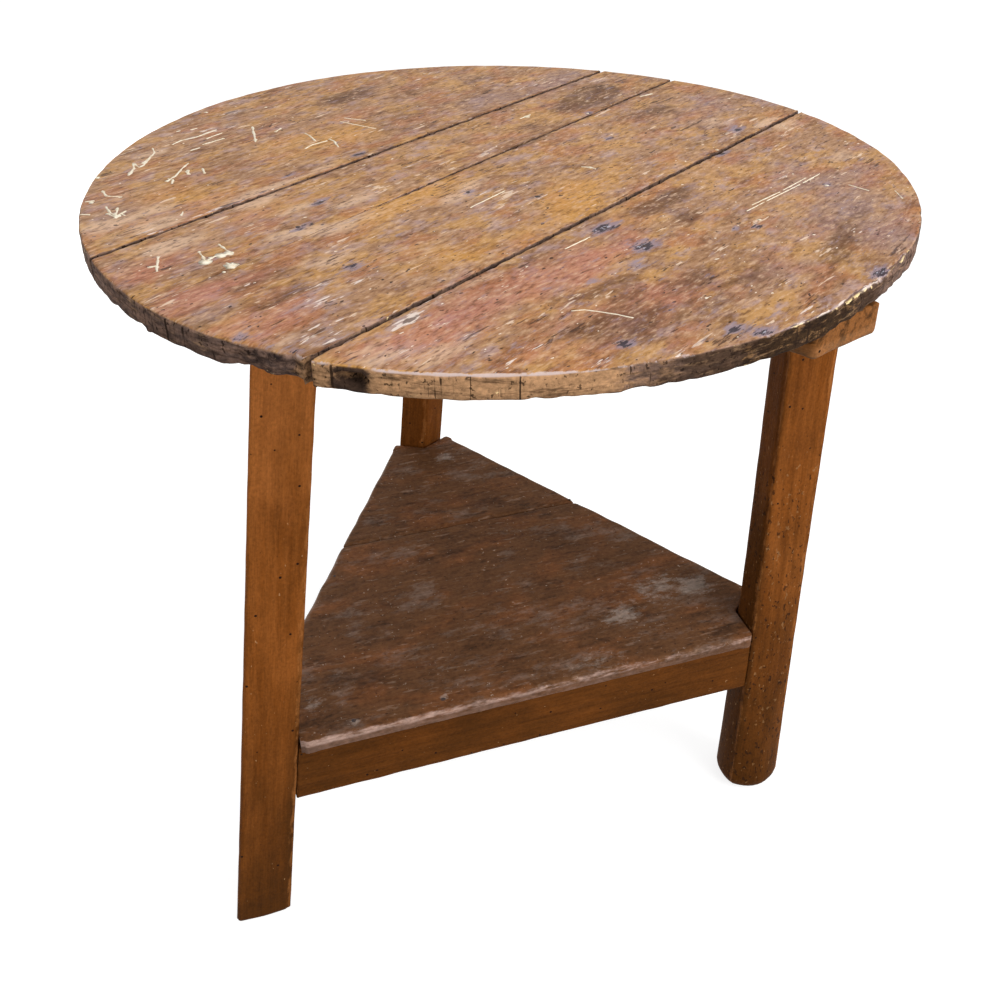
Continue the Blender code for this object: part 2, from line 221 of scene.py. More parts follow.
# Spots on the top, by kind: pixel of the middle, half length along the boards and half width in millimetres,
# strength. A dark spot of negative strength is a pale one.
TOP_SPOTS = {
    # Dents dip the surface and carry a painted lilac reflection round them and small painted glints
    "dent": (
        ((321, 200), 16, 8, 1), ((359, 153), 16, 7, 1), ((288, 174), 12, 5, 0.9), ((303, 226), 20, 6, 0.8),
        ((353, 265), 16, 8, 0.9), ((468, 191), 10, 6, 0.9), ((605, 226), 22, 11, 1.4),
        ((645, 244), 18, 13, 1.2), ((639, 264), 14, 9, 0.7), ((737, 128), 16, 9, 1),
        ((736, 327), 12, 10, 1.2), ((766, 331), 13, 10, 1.1), ((826, 183), 11, 8, 0.8),
        ((759, 225), 10, 8, 0.8), ((736, 227), 8, 5, 0.8), ((625, 342), 12, 9, 1),
        ((610, 137), 12, 7, 0.8), ((588, 112), 10, 6, 0.9), ((883, 272), 18, 11, 1.3),
        ((596, 280), 12, 8, 0.6), ((722, 152), 16, 6, 1), ((236, 338), 14, 8, 0.9),
        ((264, 349), 12, 6, 0.9), ((290, 353), 12, 6, 0.9),
    ),
    # Grazes and scratches, and patches of painted lilac sheen, some along the front rim
    "graze": (
        ((482, 192), 50, 6, 1), ((537, 196), 26, 14, 0.9), ((228, 112), 18, 6, 1), ((407, 320), 35, 10, 1),
        ((380, 235), 30, 12, 0.7), ((410, 165), 40, 6, 0.8), ((300, 305), 55, 8, 0.8),
        ((255, 283), 30, 8, 0.4), ((530, 85), 60, 20, 0.7), ((430, 75), 60, 22, 0.6),
        ((645, 265), 30, 20, 0.6), ((470, 335), 60, 12, 0.6), ((535, 290), 40, 10, 0.5),
        ((770, 155), 30, 12, 0.6), ((225, 205.5), 50, 4.5, 1.6), ((420, 340), 90, 30, 0.55),
        ((405, 318), 30, 10, 0.5), ((320, 325), 60, 30, 0.6), ((868, 226), 60, 60, 0.45),
        ((357, 280), 14, 12, 0.9), ((212, 130), 60, 18, 0.9), ((240, 110), 30, 8, 1),
        ((215, 255), 30, 30, 0.6), ((245, 277), 40, 14, 0.4), ((240, 288), 30, 10, 0.3),
        ((320, 285), 50, 12, 1), ((330, 300), 40, 10, 1), ((425, 300), 40, 12, 0.8),
        ((135, 235), 40, 20, 0.5), ((655, 95), 12, 12, 0.9), ((690, 343), 70, 12, 0.5),
        ((600, 362), 60, 12, 0.8), ((500, 366), 70, 12, 0.7), ((800, 315), 40, 14, 0.7),
        ((330, 340), 40, 20, 0.7), ((180, 230), 70, 30, 0.5),
    ),
    "honey": (
        ((330, 135), 130, 60, 0.9), ((410, 200), 110, 30, 1.2), ((590, 185), 90, 50, 1),
        ((460, 255), 90, 40, 0.8), ((560, 215), 80, 30, 1), ((700, 165), 90, 40, 0.6),
        ((180, 195), 90, 50, 0.9), ((130, 240), 60, 25, 0.6),
    ),
    "red": (
        ((140, 270), 70, 40, 0.7), ((205, 292), 90, 40, 0.8), ((260, 320), 90, 40, 0.9),
        ((440, 330), 140, 50, 1), ((590, 260), 120, 50, 0.9), ((640, 310), 140, 60, 0.8),
        ((255, 215), 80, 25, 0.6), ((650, 205), 80, 30, 0.6), ((200, 205), 90, 40, 0.5),
    ),
    # Greyish zones, which are partly painted sheen on the far part of the top
    "grey": (
        ((560, 80), 130, 50, 0.9), ((700, 110), 110, 60, 0.8), ((830, 190), 130, 90, 0.9),
        ((780, 270), 110, 60, 0.6), ((120, 215), 60, 60, 0.6), ((480, 100), 100, 40, 0.6),
        ((868, 226), 70, 60, 0.8), ((898, 241), 40, 30, 0.9), ((200, 318), 55, 24, 0.9),
    ),
    "dark": (
        ((585, 100), 80, 35, 1.6), ((655, 112), 60, 30, 0.7), ((285, 292), 60, 25, 0.8),
        ((610, 334), 70, 25, 0.5), ((740, 280), 90, 40, 0.7), ((860, 215), 70, 35, 0.5),
        ((480, 78), 80, 15, 0.6), ((205, 140), 60, 18, 0.6), ((690, 215), 40, 20, 0.8),
        ((230, 268), 45, 15, 0.7), ((250, 340), 60, 18, 0.8), ((650, 325), 60, 22, 0.8),
        ((300, 240), 30, 10, 0.5), ((650, 150), 60, 20, 0.5), ((735, 215), 50, 18, 0.5),
        ((850, 240), 50, 30, 0.6), ((230, 115), 50, 20, 0.5), ((880, 265), 50, 20, 0.6),
        ((662, 201), 45, 25, 0.8), ((600, 297), 55, 25, 0.65), ((587, 88), 50, 30, 0.7),
        ((735, 323), 30, 20, 0.5), ((358, 94), 55, 25, 0.5), ((650, 295), 55, 25, 0.6),
        ((598, 322), 55, 20, 0.5), ((842, 259), 45, 25, 0.6), ((560, 298), 40, 20, 0.4),
        ((692, 279), 45, 20, 0.6), ((567, 333), 55, 18, 0.5), ((246, 201), 50, 24, -1.3),
        ((166, 224), 50, 25, -1), ((169, 246), 50, 25, -0.9), ((107, 227), 35, 30, -0.9),
        ((278, 184), 45, 16, -0.9), ((350, 224), 55, 20, -0.8), ((475, 277), 45, 22, -0.9),
        ((361, 197), 55, 16, -0.9), ((325, 170), 45, 18, -0.8), ((266, 330), 35, 18, -0.8),
        ((458, 196), 45, 14, -0.8), ((327, 260), 55, 22, -0.8), ((319, 229), 45, 16, -0.7),
        ((443, 354), 55, 16, -0.8), ((360, 352), 45, 16, -0.8), ((285, 233), 45, 16, -0.7),
        ((777, 122), 45, 30, -1.2), ((716, 121), 35, 22, -0.8), ((250, 285), 40, 20, 0.6),
        ((652, 211), 40, 18, 0.6), ((340, 95), 60, 25, 0.5), ((713, 303), 30, 16, 0.5),
        ((701, 143), 40, 20, 0.8), ((152, 209), 40, 22, -0.8), ((480, 181), 45, 14, -0.8),
        ((280, 343), 35, 14, -0.8), ((845, 155), 35, 30, -0.7), ((296, 207), 40, 14, -0.7),
        ((392, 353), 45, 14, -0.7), ((120, 195), 35, 25, -0.7), ((154, 151), 35, 25, -0.7),
        ((605, 92), 60, 30, 0.5), ((345, 96), 70, 28, 0.4), ((399, 109), 50, 22, 0.4),
        ((368, 128), 40, 16, 0.4), ((528, 143), 50, 16, 0.6), ((602, 239), 40, 18, 0.5),
        ((628, 211), 40, 16, 0.5), ((623, 178), 40, 16, 0.4), ((681, 189), 45, 18, 0.5),
        ((622, 277), 40, 18, 0.5), ((205, 321), 55, 16, 0.5),
    ),
}

# Spots on the shelf, in the same way, with their length along X
SHELF_SPOTS = {
    "graze": (
        ((619, 616), 40, 25, 1), ((408, 615), 30, 12, 0.3), ((510, 639), 30, 6, 0.8),
        ((600, 660), 80, 30, 0.6), ((450, 670), 80, 20, 0.5), ((380, 600), 50, 30, 0.4),
        ((660, 588), 80, 50, 0.8), ((700, 585), 30, 30, 0.8), ((446, 457), 30, 25, 0.9),
        ((312, 705), 30, 30, 0.7), ((355, 722), 8, 8, 1.6), ((445, 697), 8, 8, 1.5),
    ),
}

# Spots on the rim, by kind: pixel on the upper arris, reach along the rim in millimetres, strength
RIM_SPOTS = {
    "honey": (
        ((400, 372), 100, 1.3), ((480, 374), 100, 1.3), ((560, 370), 100, 0.6), ((640, 363), 70, 0.2),
        ((320, 362), 30, 0.9),
    ),
    "grey": (
        ((760, 335), 120, 1), ((840, 305), 100, 1),
    ),
    "dark": (
        ((170, 315), 100, 0.3),
    ),
    "char": (
        ((250, 347), 50, 0.4), ((288, 357), 35, 0.45), ((350, 366), 22, 1.5),
    ),
    "chip": (
        ((860, 293), 60, 1.4), ((905, 258), 60, 1.2), ((800, 322), 60, 1), ((690, 352), 60, 0.6),
    ),
}

# Places where the rim has lost more wood: pixel on the upper arris, reach along the rim, depth in metres
RIM_DAMAGE = (
    ((240, 344), 0.018, 0.003),
    ((262, 350), 0.030, 0.004),
    ((292, 358), 0.014, 0.004),
    ((870, 288), 0.050, 0.004),
    ((905, 260), 0.030, 0.003),
    ((640, 364), 0.010, 0.002),
)
KNOT_HOLE_PIXEL = (351, 366.5)
KNOT_HOLE_DROP = 0.010
KNOT_HOLE_LENGTH = 0.012
KNOT_HOLE_HEIGHT = 0.0058
KNOT_HOLE_DEPTH = 0.014

# Splashes of old paint and scratches on the top, as lines through pixels
PAINT_LINES = (
    ((158.6, 255.5), (156.5, 265.7), (156.5, 270.8)), ((156.5, 265), (147.3, 266.7)),
    ((200.4, 252.4), (205.5, 260.6), (214.7, 255.5), (222.9, 254.5), (233, 251.4)),
    ((218.8, 243.3), (226, 249), (232, 252.4)), ((226, 262), (231, 264.7), (233, 262)),
    ((128, 174.9), (134, 167.8), (133, 162.7), (139.2, 166.7), (143.3, 164.7),
     (151.4, 155.5), (154.5, 151.4)),
    ((165.7, 181), (175.9, 174.9), (182, 167.8), (188.2, 162.7)),
    ((167.8, 178), (172.9, 179), (171.8, 183)), ((186, 170.8), (188.2, 173.9)),
    ((202.4, 167.8), (204.5, 172.9)), ((102.4, 190.2), (106.5, 195.3), (121.8, 196.3)),
    ((106.5, 212.7), (116.7, 216.7), (120.8, 212.7), (124.9, 214.7)), ((80, 213.7), (90.2, 213.7)),
    ((252.4, 125.9), (255.5, 141.2)), ((329, 138.2), (334, 140.2), (338.2, 146.3)),
    ((581.6, 166), (589, 166.5), (596, 168)), ((142.5, 163), (154.5, 152.5), (152.5, 147.5)),
    ((172, 144), (180, 140), (197, 136), (216, 129)), ((202, 144), (224, 137.5)), ((206, 138), (222, 132)),
    ((190, 150), (200, 147)), ((176, 131), (180, 130)), ((190, 129), (197, 127.5)),
    ((275, 131), (281, 127.5)), ((305, 132.5), (310, 135), (315, 140)),
    ((305, 148), (312, 144), (327, 140)), ((106, 206), (110, 212), (117, 215), (126, 210)),
    ((117.5, 207), (115, 217.5)), ((182.5, 211), (181, 215)), ((187.5, 169.5), (189, 174)),
    ((85, 201), (94, 200)), ((520, 118), (530, 114)), ((640, 96), (652, 93)),
)
SCRATCHES = (
    ((340.2, 120.8), (376, 128)), ((344.3, 117.3), (365.7, 119.8)), ((746.5, 210.2), (764, 201.5)),
    ((766, 200.3), (783, 192), (800, 183.5)), ((803, 182), (819.7, 173)), ((752, 204), (780, 191)),
    ((783, 189.3), (806, 177)), ((849, 184), (869, 190)), ((894.8, 189.8), (902.7, 197.7)),
    ((571.5, 310), (585.3, 308.9), (617.5, 313.5), (633.5, 316.9)), ((565, 248), (590, 236)),
    ((470, 207), (505, 190)),
)
PAINT_DROPS = (
    ((205.5, 260.6), 0.0058), ((211, 257), 0.0026), ((221, 254.5), 0.0052), ((228, 252.5), 0.0044),
    ((231, 264.7), 0.0058), ((224, 271), 0.0018), ((199, 251), 0.0016), ((157, 266), 0.002),
    ((206, 111.6), 0.0022), ((97.3, 176.9), 0.0026), ((265.7, 106.5), 0.0016), ((91.2, 201.8), 0.0022),
    ((119, 215), 0.0022), ((527, 116), 0.0034), ((588, 112), 0.0024), ((590, 166.5), 0.0026),
    ((717, 149), 0.002), ((760, 219), 0.002), ((827, 184), 0.0022),
)
PAINT_WIDTH = 0.0011
SCRATCH_WIDTH = 0.0006
PAINT_THINNEST = 0.5
PAINT_SPREAD = 2.0
PAINT_STEP = 0.0025
PAINT_WOBBLE = 0.0010
STRIP_SIDES = 4
DROP_SIDES = 14
DROP_RISE = 0.0005
DROP_SINK = 0.0006
DROP_SPREAD = 0.9

# Hand-made nails: rings from the head down, as shares of the head's radius and drops in metres
NAIL_SIDES = 9
NAIL_RINGS = ((0.45, 0.0002), (0.8, 0.0005), (1.0, 0.0011), (0.9, 0.0016), (0.4, 0.0018))
NAIL_SPREAD = 0.5
NAIL_RISE = 0.0005
NAIL_POINT_SHARE = 0.15

# Channels of the two colour attributes that carry the spots to the materials
ATTRIBUTES = {"wear": ("side", "dent", "graze", "char"), "zone": ("red", "grey", "honey", "dark")}
RAIL_CHANNELS = {"side": 0.0, "graze": 0.0, "dark": 0.3, "honey": 0.0, "red": 0.0}

Wear = collections.namedtuple("Wear", "rounds loss dip")
Spot = collections.namedtuple("Spot", "kind place along length width strength")
Solid = collections.namedtuple("Solid", "points faces sides")

# A swing of brightness: stretch of its noise, the noise's detail and roughness, and how far it swings
Swing = collections.namedtuple("Swing", "stretch detail roughness amount")

# A layer of colour: stretch of its noise along, across and through the grain in turns a metre, the noise's
# detail and roughness, the values at which the layer starts and is full, its greatest share and its colour.
# A layer that follows a channel of an attribute adds its noise to it by the amount.
Layer = collections.namedtuple(
    "Layer", "stretch detail roughness start full share colour channel amount", defaults=(None, 1.0)
)

# Colours of the materials, in 8-bit values: a base, the layers on it, and the swings of their brightness
TOP_BASE = (172, 130, 95)
TOP_HUES = (
    Layer((9, 18, 18), 3, 0.6, 0.48, 0.62, 0.45, (134, 90, 54)),
    Layer((22, 38, 38), 4, 0.6, 0.44, 0.60, 0.60, (206, 154, 84)),
    # A lilac-grey layer of painted sheen
    Layer((34, 62, 62), 4, 0.65, 0.51, 0.66, 0.64, (178, 150, 150)),
    Layer((18, 32, 32), 4, 0.6, 0.48, 0.64, 0.55, (174, 106, 66)),
    Layer((26, 48, 48), 5, 0.65, 0.52, 0.68, 0.70, (118, 76, 45)),
    Layer((14, 28, 28), 3, 0.6, 0.15, 0.85, 0.70, (212, 154, 76), "honey", 1.4),
    Layer((14, 29, 29), 3, 0.6, 0.15, 0.85, 0.65, (190, 122, 104), "red", 1.4),
    # The grey zones, partly painted sheen
    Layer((14, 30, 30), 3, 0.6, 0.20, 0.90, 0.65, (148, 121, 119), "grey", 1.4),
    Layer((20, 44, 44), 4, 0.65, 0.20, 0.80, 0.80, (96, 62, 38), "dark", 1.6),
    Layer((20, 44, 45), 4, 0.65, -0.20, -0.80, 0.70, (224, 188, 158), "dark", 1.6),
    Layer((44, 120, 120), 4, 0.75, 0.50, 0.20, 0.55, (108, 64, 32)),
    Layer((44, 120, 120), 4, 0.75, 0.50, 0.80, 0.45, (222, 182, 146)),
    Layer((100, 280, 280), 2, 0.65, 0.50, 0.24, 0.70, (92, 54, 28)),
    Layer((100, 280, 280), 2, 0.65, 0.50, 0.76, 0.50, (232, 194, 162)),
)
TOP_SWINGS = (
    Swing((50, 150, 150), 6, 0.75, 1.5),
)
TOP_MARKS = (
    Layer((44, 300, 300), 3, 0.65, 0.70, 0.78, 0.85, (72, 45, 30), "busy", 1.0),
    Layer((42, 260, 261), 2, 0.6, 0.73, 0.79, 0.80, (236, 208, 182), "chalky", 1.0),
    Layer((150, 260, 260), 1, 0.5, 0.725, 0.75, 0.90, (54, 34, 25)),
    Layer((150, 260, 261), 1, 0.5, 0.765, 0.785, 0.90, (248, 234, 214)),
    # Along the grazes: painted lilac sheen, pale scratches and dark scuffs
    Layer((40, 120, 120), 4, 0.7, 0.45, 1.10, 0.60, (180, 162, 168), "graze", 2.2),
    Layer((46, 260, 260), 2, 0.6, 0.85, 1.05, 0.90, (238, 220, 208), "graze", 3.0),
    Layer((44, 260, 261), 2, 0.6, 0.90, 1.10, 0.80, (84, 56, 42), "graze", 3.0),
    # Round the dents a painted lilac reflection; in them dark marks and small painted glints
    Layer((60, 200, 200), 4, 0.7, 0.10, 0.70, 0.80, (152, 136, 148), "dent", 2.4),
    Layer((70, 260, 261), 4, 0.75, 0.60, 0.90, 0.92, (50, 43, 50), "dent", 3.2),
    Layer((110, 300, 301), 3, 0.65, 1.15, 1.35, 0.75, (190, 186, 198), "dent", 3.0),
)
RIM_BASE = (108, 88, 80)
RIM_LAYERS = (
    Layer((70, 70, 200), 5, 0.68, 0.36, 0.64, 0.8, (146, 115, 98)),
    Layer((60, 60, 160), 4, 0.7, 0.20, 0.75, 0.90, (196, 150, 108), "honey", 1.6),
    Layer((40, 40, 160), 4, 0.65, 0.05, 0.60, 0.88, (72, 53, 39), "grey", 1.0),
    Layer((70, 70, 180), 4, 0.7, 0.95, 1.25, 0.70, (150, 112, 74), "grey", 2.6),
    Layer((70, 70, 181), 4, 0.7, 0.85, 1.15, 0.85, (30, 20, 13), "grey", 2.6),
    Layer((40, 40, 160), 4, 0.65, 0.10, 0.90, 0.80, (60, 42, 32), "dark", 1.0),
    Layer((36, 36, 260), 4, 0.7, 0.50, 0.66, 0.65, (54, 36, 25)),
    Layer((40, 40, 240), 4, 0.7, 0.55, 0.72, 0.45, (196, 156, 116)),
    Layer((60, 60, 120), 4, 0.68, 0.30, 0.80, 0.92, (40, 31, 31), "char", 1.6),
    Layer((300, 300, 9), 2, 0.5, 0.64, 0.68, 0.90, (44, 30, 21)),
    Layer((240, 240, 250), 2, 0.6, 0.60, 0.70, 0.80, (38, 26, 20)),
    Layer((110, 110, 150), 3, 0.65, 0.80, 1.00, 0.95, (244, 218, 160), "graze", 4.0),
)
RIM_SWINGS = (
    Swing((70, 70, 200), 4, 0.7, 1.3),
    Swing((300, 300, 320), 2, 0.6, 1.2),
)
# Pale rubbed wood and a painted highlight along the top's arris
ARRIS_WEAR_AND_HIGHLIGHT = (214, 194, 190)
FRAME_BASE = (122, 67, 22)
FRAME_LAYERS = (
    Layer((8, 130, 130), 4, 0.62, 0.30, 0.70, 0.60, (150, 88, 38)),
    Layer((7, 18, 18), 4, 0.62, 0.50, 0.70, 0.45, (102, 55, 20)),
    Layer((6, 16, 16), 4, 0.62, 0.48, 0.68, 0.45, (166, 98, 44)),
    Layer((40, 110, 110), 4, 0.65, 0.20, 0.90, 0.90, (118, 86, 58), "honey", 1.4),
    # Dark carries dirt, the darker lower legs and stretchers, and painted shade on the legs and the batten;
    # red carries the legs' brighter heads, partly painted light
    Layer((12, 26, 26), 4, 0.65, 0.20, 1.10, 0.85, (70, 40, 12), "dark", 1.0),
    Layer((12, 26, 26), 4, 0.65, 0.20, 1.10, 0.85, (204, 124, 62), "red", 1.0),
    Layer((40, 120, 120), 4, 0.7, 0.70, 1.10, 0.45, (190, 122, 66), "side", 1.8),
    Layer((160, 320, 320), 2, 0.5, 0.735, 0.765, 0.55, (206, 160, 112)),
    Layer((130, 240, 240), 2, 0.5, 1.03, 1.10, 0.75, (44, 25, 14), "graze", 2.4),
    Layer((150, 260, 261), 2, 0.5, 1.13, 1.20, 0.45, (166, 124, 82), "graze", 2.4),
)
FRAME_SWINGS = (
    Swing((8, 150, 150), 4, 0.65, 0.9),
    Swing((60, 800, 800), 2, 0.5, 0.5),
    Swing((320, 400, 400), 2, 0.6, 0.8),
)
SHELF_BASE = (106, 71, 45)
SHELF_LAYERS = (
    Layer((10, 22, 22), 4, 0.65, 0.46, 0.64, 0.55, (134, 82, 47)),
    Layer((16, 34, 35), 5, 0.72, 0.51, 0.68, 0.50, (140, 120, 108)),
    Layer((14, 27, 26), 5, 0.72, 0.53, 0.68, 0.60, (62, 40, 26)),
    Layer((70, 130, 130), 5, 0.75, 0.40, 1.00, 0.65, (176, 160, 148), "graze", 2.2),
    Layer((34, 150, 150), 3, 0.65, 0.60, 0.70, 0.45, (160, 130, 110)),
    Layer((36, 150, 151), 3, 0.65, 0.60, 0.70, 0.55, (50, 32, 21)),
    Layer((220, 240, 240), 2, 0.6, 0.68, 0.74, 0.60, (190, 166, 146)),
    Layer((200, 240, 241), 2, 0.5, 0.67, 0.74, 0.65, (44, 29, 20)),
    # The pale front edge: worn wood with a painted highlight
    Layer((50, 200, 200), 4, 0.72, 0.58, 1.25, 0.85, (192, 160, 146), "side", 2.2),
    Layer((30, 240, 241), 3, 0.65, 0.30, 0.80, 0.80, (104, 72, 52), "dark", 0.8),
)
SHELF_SWINGS = (
    Swing((36, 64, 64), 7, 0.76, 1.5),
    Swing((16, 180, 180), 3, 0.6, 0.8),
    Swing((200, 240, 240), 2, 0.6, 1.1),
)
EIGHT_BIT_WHITE = 255
NOISE_MIDDLE = 0.5

# Slow waves in the grain: stretch of their noise, and how far they push the grain aside in metres
TOP_WAVE = ((5, 22, 22), 0.010)
FRAME_WAVE = ((3, 14, 14), 0.010)

# Other noises of the materials: stretch, detail and roughness
BUSY_NOISE = ((18, 40, 40), 3, 0.6)
CHALKY_NOISE = ((16, 36, 36), 3, 0.6)
RUBBED_NOISE = ((90, 90, 90), 4, 0.7)
FRAME_STREAKS = ((10, 150, 150), 4, 0.6)
SHELF_STREAKS = ((12, 110, 110), 4, 0.62)
RUST_NOISE = ((400, 400, 400), 4, 0.65)
PAINT_DIRT = ((300, 300, 300), 3, 0.55)

# The rim's colours take over from the surface's round the arris, which is rubbed pale in places and has a
# painted highlight
RIM_BLEND = (0.5, 0.85)
ARRIS_START = (0.15, 0.45)
ARRIS_END = (0.95, 0.75)
ARRIS_WEAR_AND_HIGHLIGHT_LIMITS = (0.58, 0.74)
ARRIS_HONEY = 0.25
ARRIS_CHAR = (0.5, 0.1)
ARRIS_WEAR_AND_HIGHLIGHT_SHARE = 0.85

# Worm holes in the frame, rust on the nails and dirt on the paint
HOLE_CELLS = (60, 60, 60)
HOLE_EDGE = (0.095, 0.060)
HOLE_COLOUR = (34, 20, 13)
RUST_LIMITS = (0.4, 0.65)
IRON_COLOURS = ((58, 52, 55), (92, 70, 60))
IRON_METALLIC = 0.3
PAINT_LIMITS = (0.4, 0.7)
PAINT_COLOURS = ((250, 240, 218), (228, 208, 176))

# A finish: least roughness, how much a noise adds to it, specular level and depth of the bumps in metres
Finish = collections.namedtuple("Finish", "roughness spread specular bump")
TOP_FINISH = Finish(0.38, 0.2, 0.07, 0.0006)
TOP_SIDE_ROUGHNESS = 0.4
FRAME_FINISH = Finish(0.50, 0.2, 0.04, 0.0005)
SHELF_FINISH = Finish(0.50, 0.2, 0.09, 0.0005)
IRON_FINISH = Finish(0.5, 0.3, 0.3, 0.0003)
PAINT_FINISH = Finish(0.6, 0.0, 0.3, 0.0003)

# Stage: a floor just below the feet, an even world, and softboxes with their place, size and power
FLOOR_SIZE = 8
FLOOR_DROP = 0.0005
FLOOR_GREY = (0.45, 0.45, 0.45, 1)
FLOOR_GLOW = (0.80, 0.80, 0.80, 1)
WHITE = (1, 1, 1, 1)
WORLD_LIGHT = 0.48
WORLD_SEEN = 1.0
SOFTBOXES = {
    "overhead": ((0.2, -0.3, 3.0), 3.0, 26),
    "key": ((1.5, -2.5, 1.9), 2.0, 62),
    "fill": ((-0.9, 2.4, 0.45), 0.8, 24),
}


# Photograph


def camera_matrix():
    heading = Matrix.Rotation(-CAMERA_HEADING, 4, "Z")
    pitch = Matrix.Rotation(QUARTER_TURN - CAMERA_PITCH, 4, "X")
    roll = Matrix.Rotation(CAMERA_ROLL, 4, "Z")
    return Matrix.Translation(CAMERA_PLACE) @ heading @ pitch @ roll


def at_height(pixel, height):
    """Where the line of sight through a pixel of the photograph meets a height."""
    camera = camera_matrix()
    right = (pixel[0] - PRINCIPAL_X) / FOCAL_PIXELS
    up = (PRINCIPAL_Y - pixel[1]) / FOCAL_PIXELS
    sight = camera.to_3x3() @ Vector((right, up, -1))
    return camera.translation + sight * ((height - camera.translation.z) / sight.z)


def add_camera():
    data = bpy.data.cameras.new("photo_camera")
    longest = max(PHOTO_WIDTH, PHOTO_HEIGHT)
    data.sensor_width = SENSOR_WIDTH
    data.lens = FOCAL_PIXELS * SENSOR_WIDTH / longest
    data.shift_x = (PHOTO_WIDTH / 2 - PRINCIPAL_X) / longest
    data.shift_y = (PRINCIPAL_Y - PHOTO_HEIGHT / 2) / longest
    camera = bpy.data.objects.new("photo_camera", data)
    camera.matrix_world = camera_matrix()
    bpy.context.scene.collection.objects.link(camera)
    bpy.context.scene.camera = camera


# Outlines read from the frame


def node_shape(node, place):
    """A node's mesh, welded, in a piece's own frame."""
    shape = bmesh.new()
    shape.from_mesh(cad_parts[node].data)
    bmesh.ops.remove_doubles(shape, verts=shape.verts, dist=WELD)
    bmesh.ops.transform(shape, matrix=place.inverted(), verts=shape.verts)
    return shape


def ordered_loops(edges):
    """Closed chains of points from loose edges, in the order of the edges."""
    loops = []
    waiting = list(edges)
    while waiting:
        edge = waiting.pop()
        start, here = edge.verts
        chain = [start, here]
        while here != start:
            edge = next(e for e in here.link_edges if e in waiting)
            waiting.remove(edge)
            here = edge.other_vert(here)
            chain.append(here)
        loops.append([vertex.co.xy for vertex in chain[:-1]])
    return loops


def pairs(loop):
    """Each point of a closed outline with the next one."""
    return zip(loop, loop[1:] + loop[:1])


def triples(loop):
    """Each point of a closed outline between its two neighbours."""
    return zip(loop[-1:] + loop[:-1], loop, loop[1:] + loop[:1])


def area_of(loop):
    return sum(a.x * b.y - b.x * a.y for a, b in pairs(loop)) / 2


def corners_of(loop):
    """The points where an outline turns."""
    kept = []
    for before, here, after in triples(loop):
        if abs((here - before).angle_signed(after - here)) > STRAIGHT:
            kept.append(here)
    return kept


def section(node, place, level):
    """Outline of a node at a level of a piece's own frame, anticlockwise."""
    shape = node_shape(node, place)
    everything = shape.verts[:] + shape.edges[:] + shape.faces[:]
    cut = bmesh.ops.bisect_plane(shape, geom=everything, plane_co=(0, 0, level), plane_no=UP)
    edges = [item for item in cut["geom_cut"] if isinstance(item, bmesh.types.BMEdge)]
    loop = max(ordered_loops(edges), key=lambda points: abs(area_of(points)))
    shape.free()
    if area_of(loop) < 0:
        loop.reverse()
    return corners_of(loop)


def levels_of(node, place):
    """Lowest and highest level of a node in a piece's own frame."""
    shape = node_shape(node, place)
    heights = [vertex.co.z for vertex in shape.verts]
    shape.free()
    return min(heights), max(heights)


def show_face(node):
    """Normal of a node's largest face that looks away from the table's middle."""
    shape = node_shape(node, UPRIGHT)
    outward = [face for face in shape.faces if face.normal.xy.dot(face.calc_center_median().xy) > 0]
    normal = max(outward, key=lambda face: face.calc_area()).normal.copy()
    shape.free()
    return normal


def own_frame(origin, along, normal):
    """A piece's own frame: X along its grain, Z out of its show face."""
    across = normal.cross(along).normalized()
    axes = Matrix((along, across, normal)).transposed().to_4x4()
    return Matrix.Translation(origin) @ axes


def board_direction():
    """The way the top's boards run: the longest straight edge of the first board."""
    corners = section(TOP_BOARDS[0], UPRIGHT, TOP_HEIGHT - TOP_THICKNESS / 2)
    edges = [b - a for a, b in pairs(corners)]
    longest = max(edges, key=lambda edge: edge.length)
    along = longest.to_3d().normalized()
    return along if along.x > 0 else -along


BOARD_WAY = board_direction()
BOARD_ACROSS = UP.cross(BOARD_WAY)
BOARD_FRAME = own_frame(Vector(), BOARD_WAY, UP)


def board_outline(node):
    return section(node, BOARD_FRAME, TOP_HEIGHT - TOP_THICKNESS / 2)


def straight_edges(node):
    """Distance across the boards and slope along them of each straight edge of a board, the lowest first."""
    found = []
    for start, end in pairs(board_outline(node)):
        if (end - start).length > LONG_EDGE:
            slope = (end.y - start.y) / (end.x - start.x)
            found.append(Vector((start.y - slope * start.x, slope)))
    return sorted(found, key=lambda line: line.x)


JOINT_LINES = [
    (straight_edges(upper)[0] + straight_edges(lower)[-1]) / 2
    for upper, lower in zip(TOP_BOARDS, TOP_BOARDS[1:])
]


# Spots and wear, by place


def spots_at(spots, height, along):
    """Spots on a level surface, from a table of them by kind."""
    found = []
    for kind, entries in spots.items():
        reach = MILLIMETRE * (DENT_HALO if kind == "dent" else 1)
        for pixel, length, width, strength in entries:
            place = at_height(pixel, height)
            found.append(Spot(kind, place, along, length * reach, width * reach, strength))
    return found


def rim_place(pixel):
    """The point of the rim nearest to what a pixel shows."""
    place = at_height(pixel, TOP_HEIGHT)
    return min(RIM_POINTS, key=lambda point: (point - place).length)


def rim_spots():
    found = []
    for kind, entries in RIM_SPOTS.items():
        for pixel, reach, strength in entries:
            reach *= MILLIMETRE
            found.append(Spot(kind, rim_place(pixel), BOARD_WAY, reach, reach, strength))
    return found


def middle_of(loop):
    return sum(loop, Vector((0, 0))) / len(loop)


def spot_share(spot, point):
    """1 at a spot's middle, 0 at its edge and beyond."""
    offset = point - spot.place
    along = offset.dot(spot.along) / spot.length
    across = offset.dot(UP.cross(spot.along)) / spot.width
    return max(0.0, 1 - math.hypot(along, across))


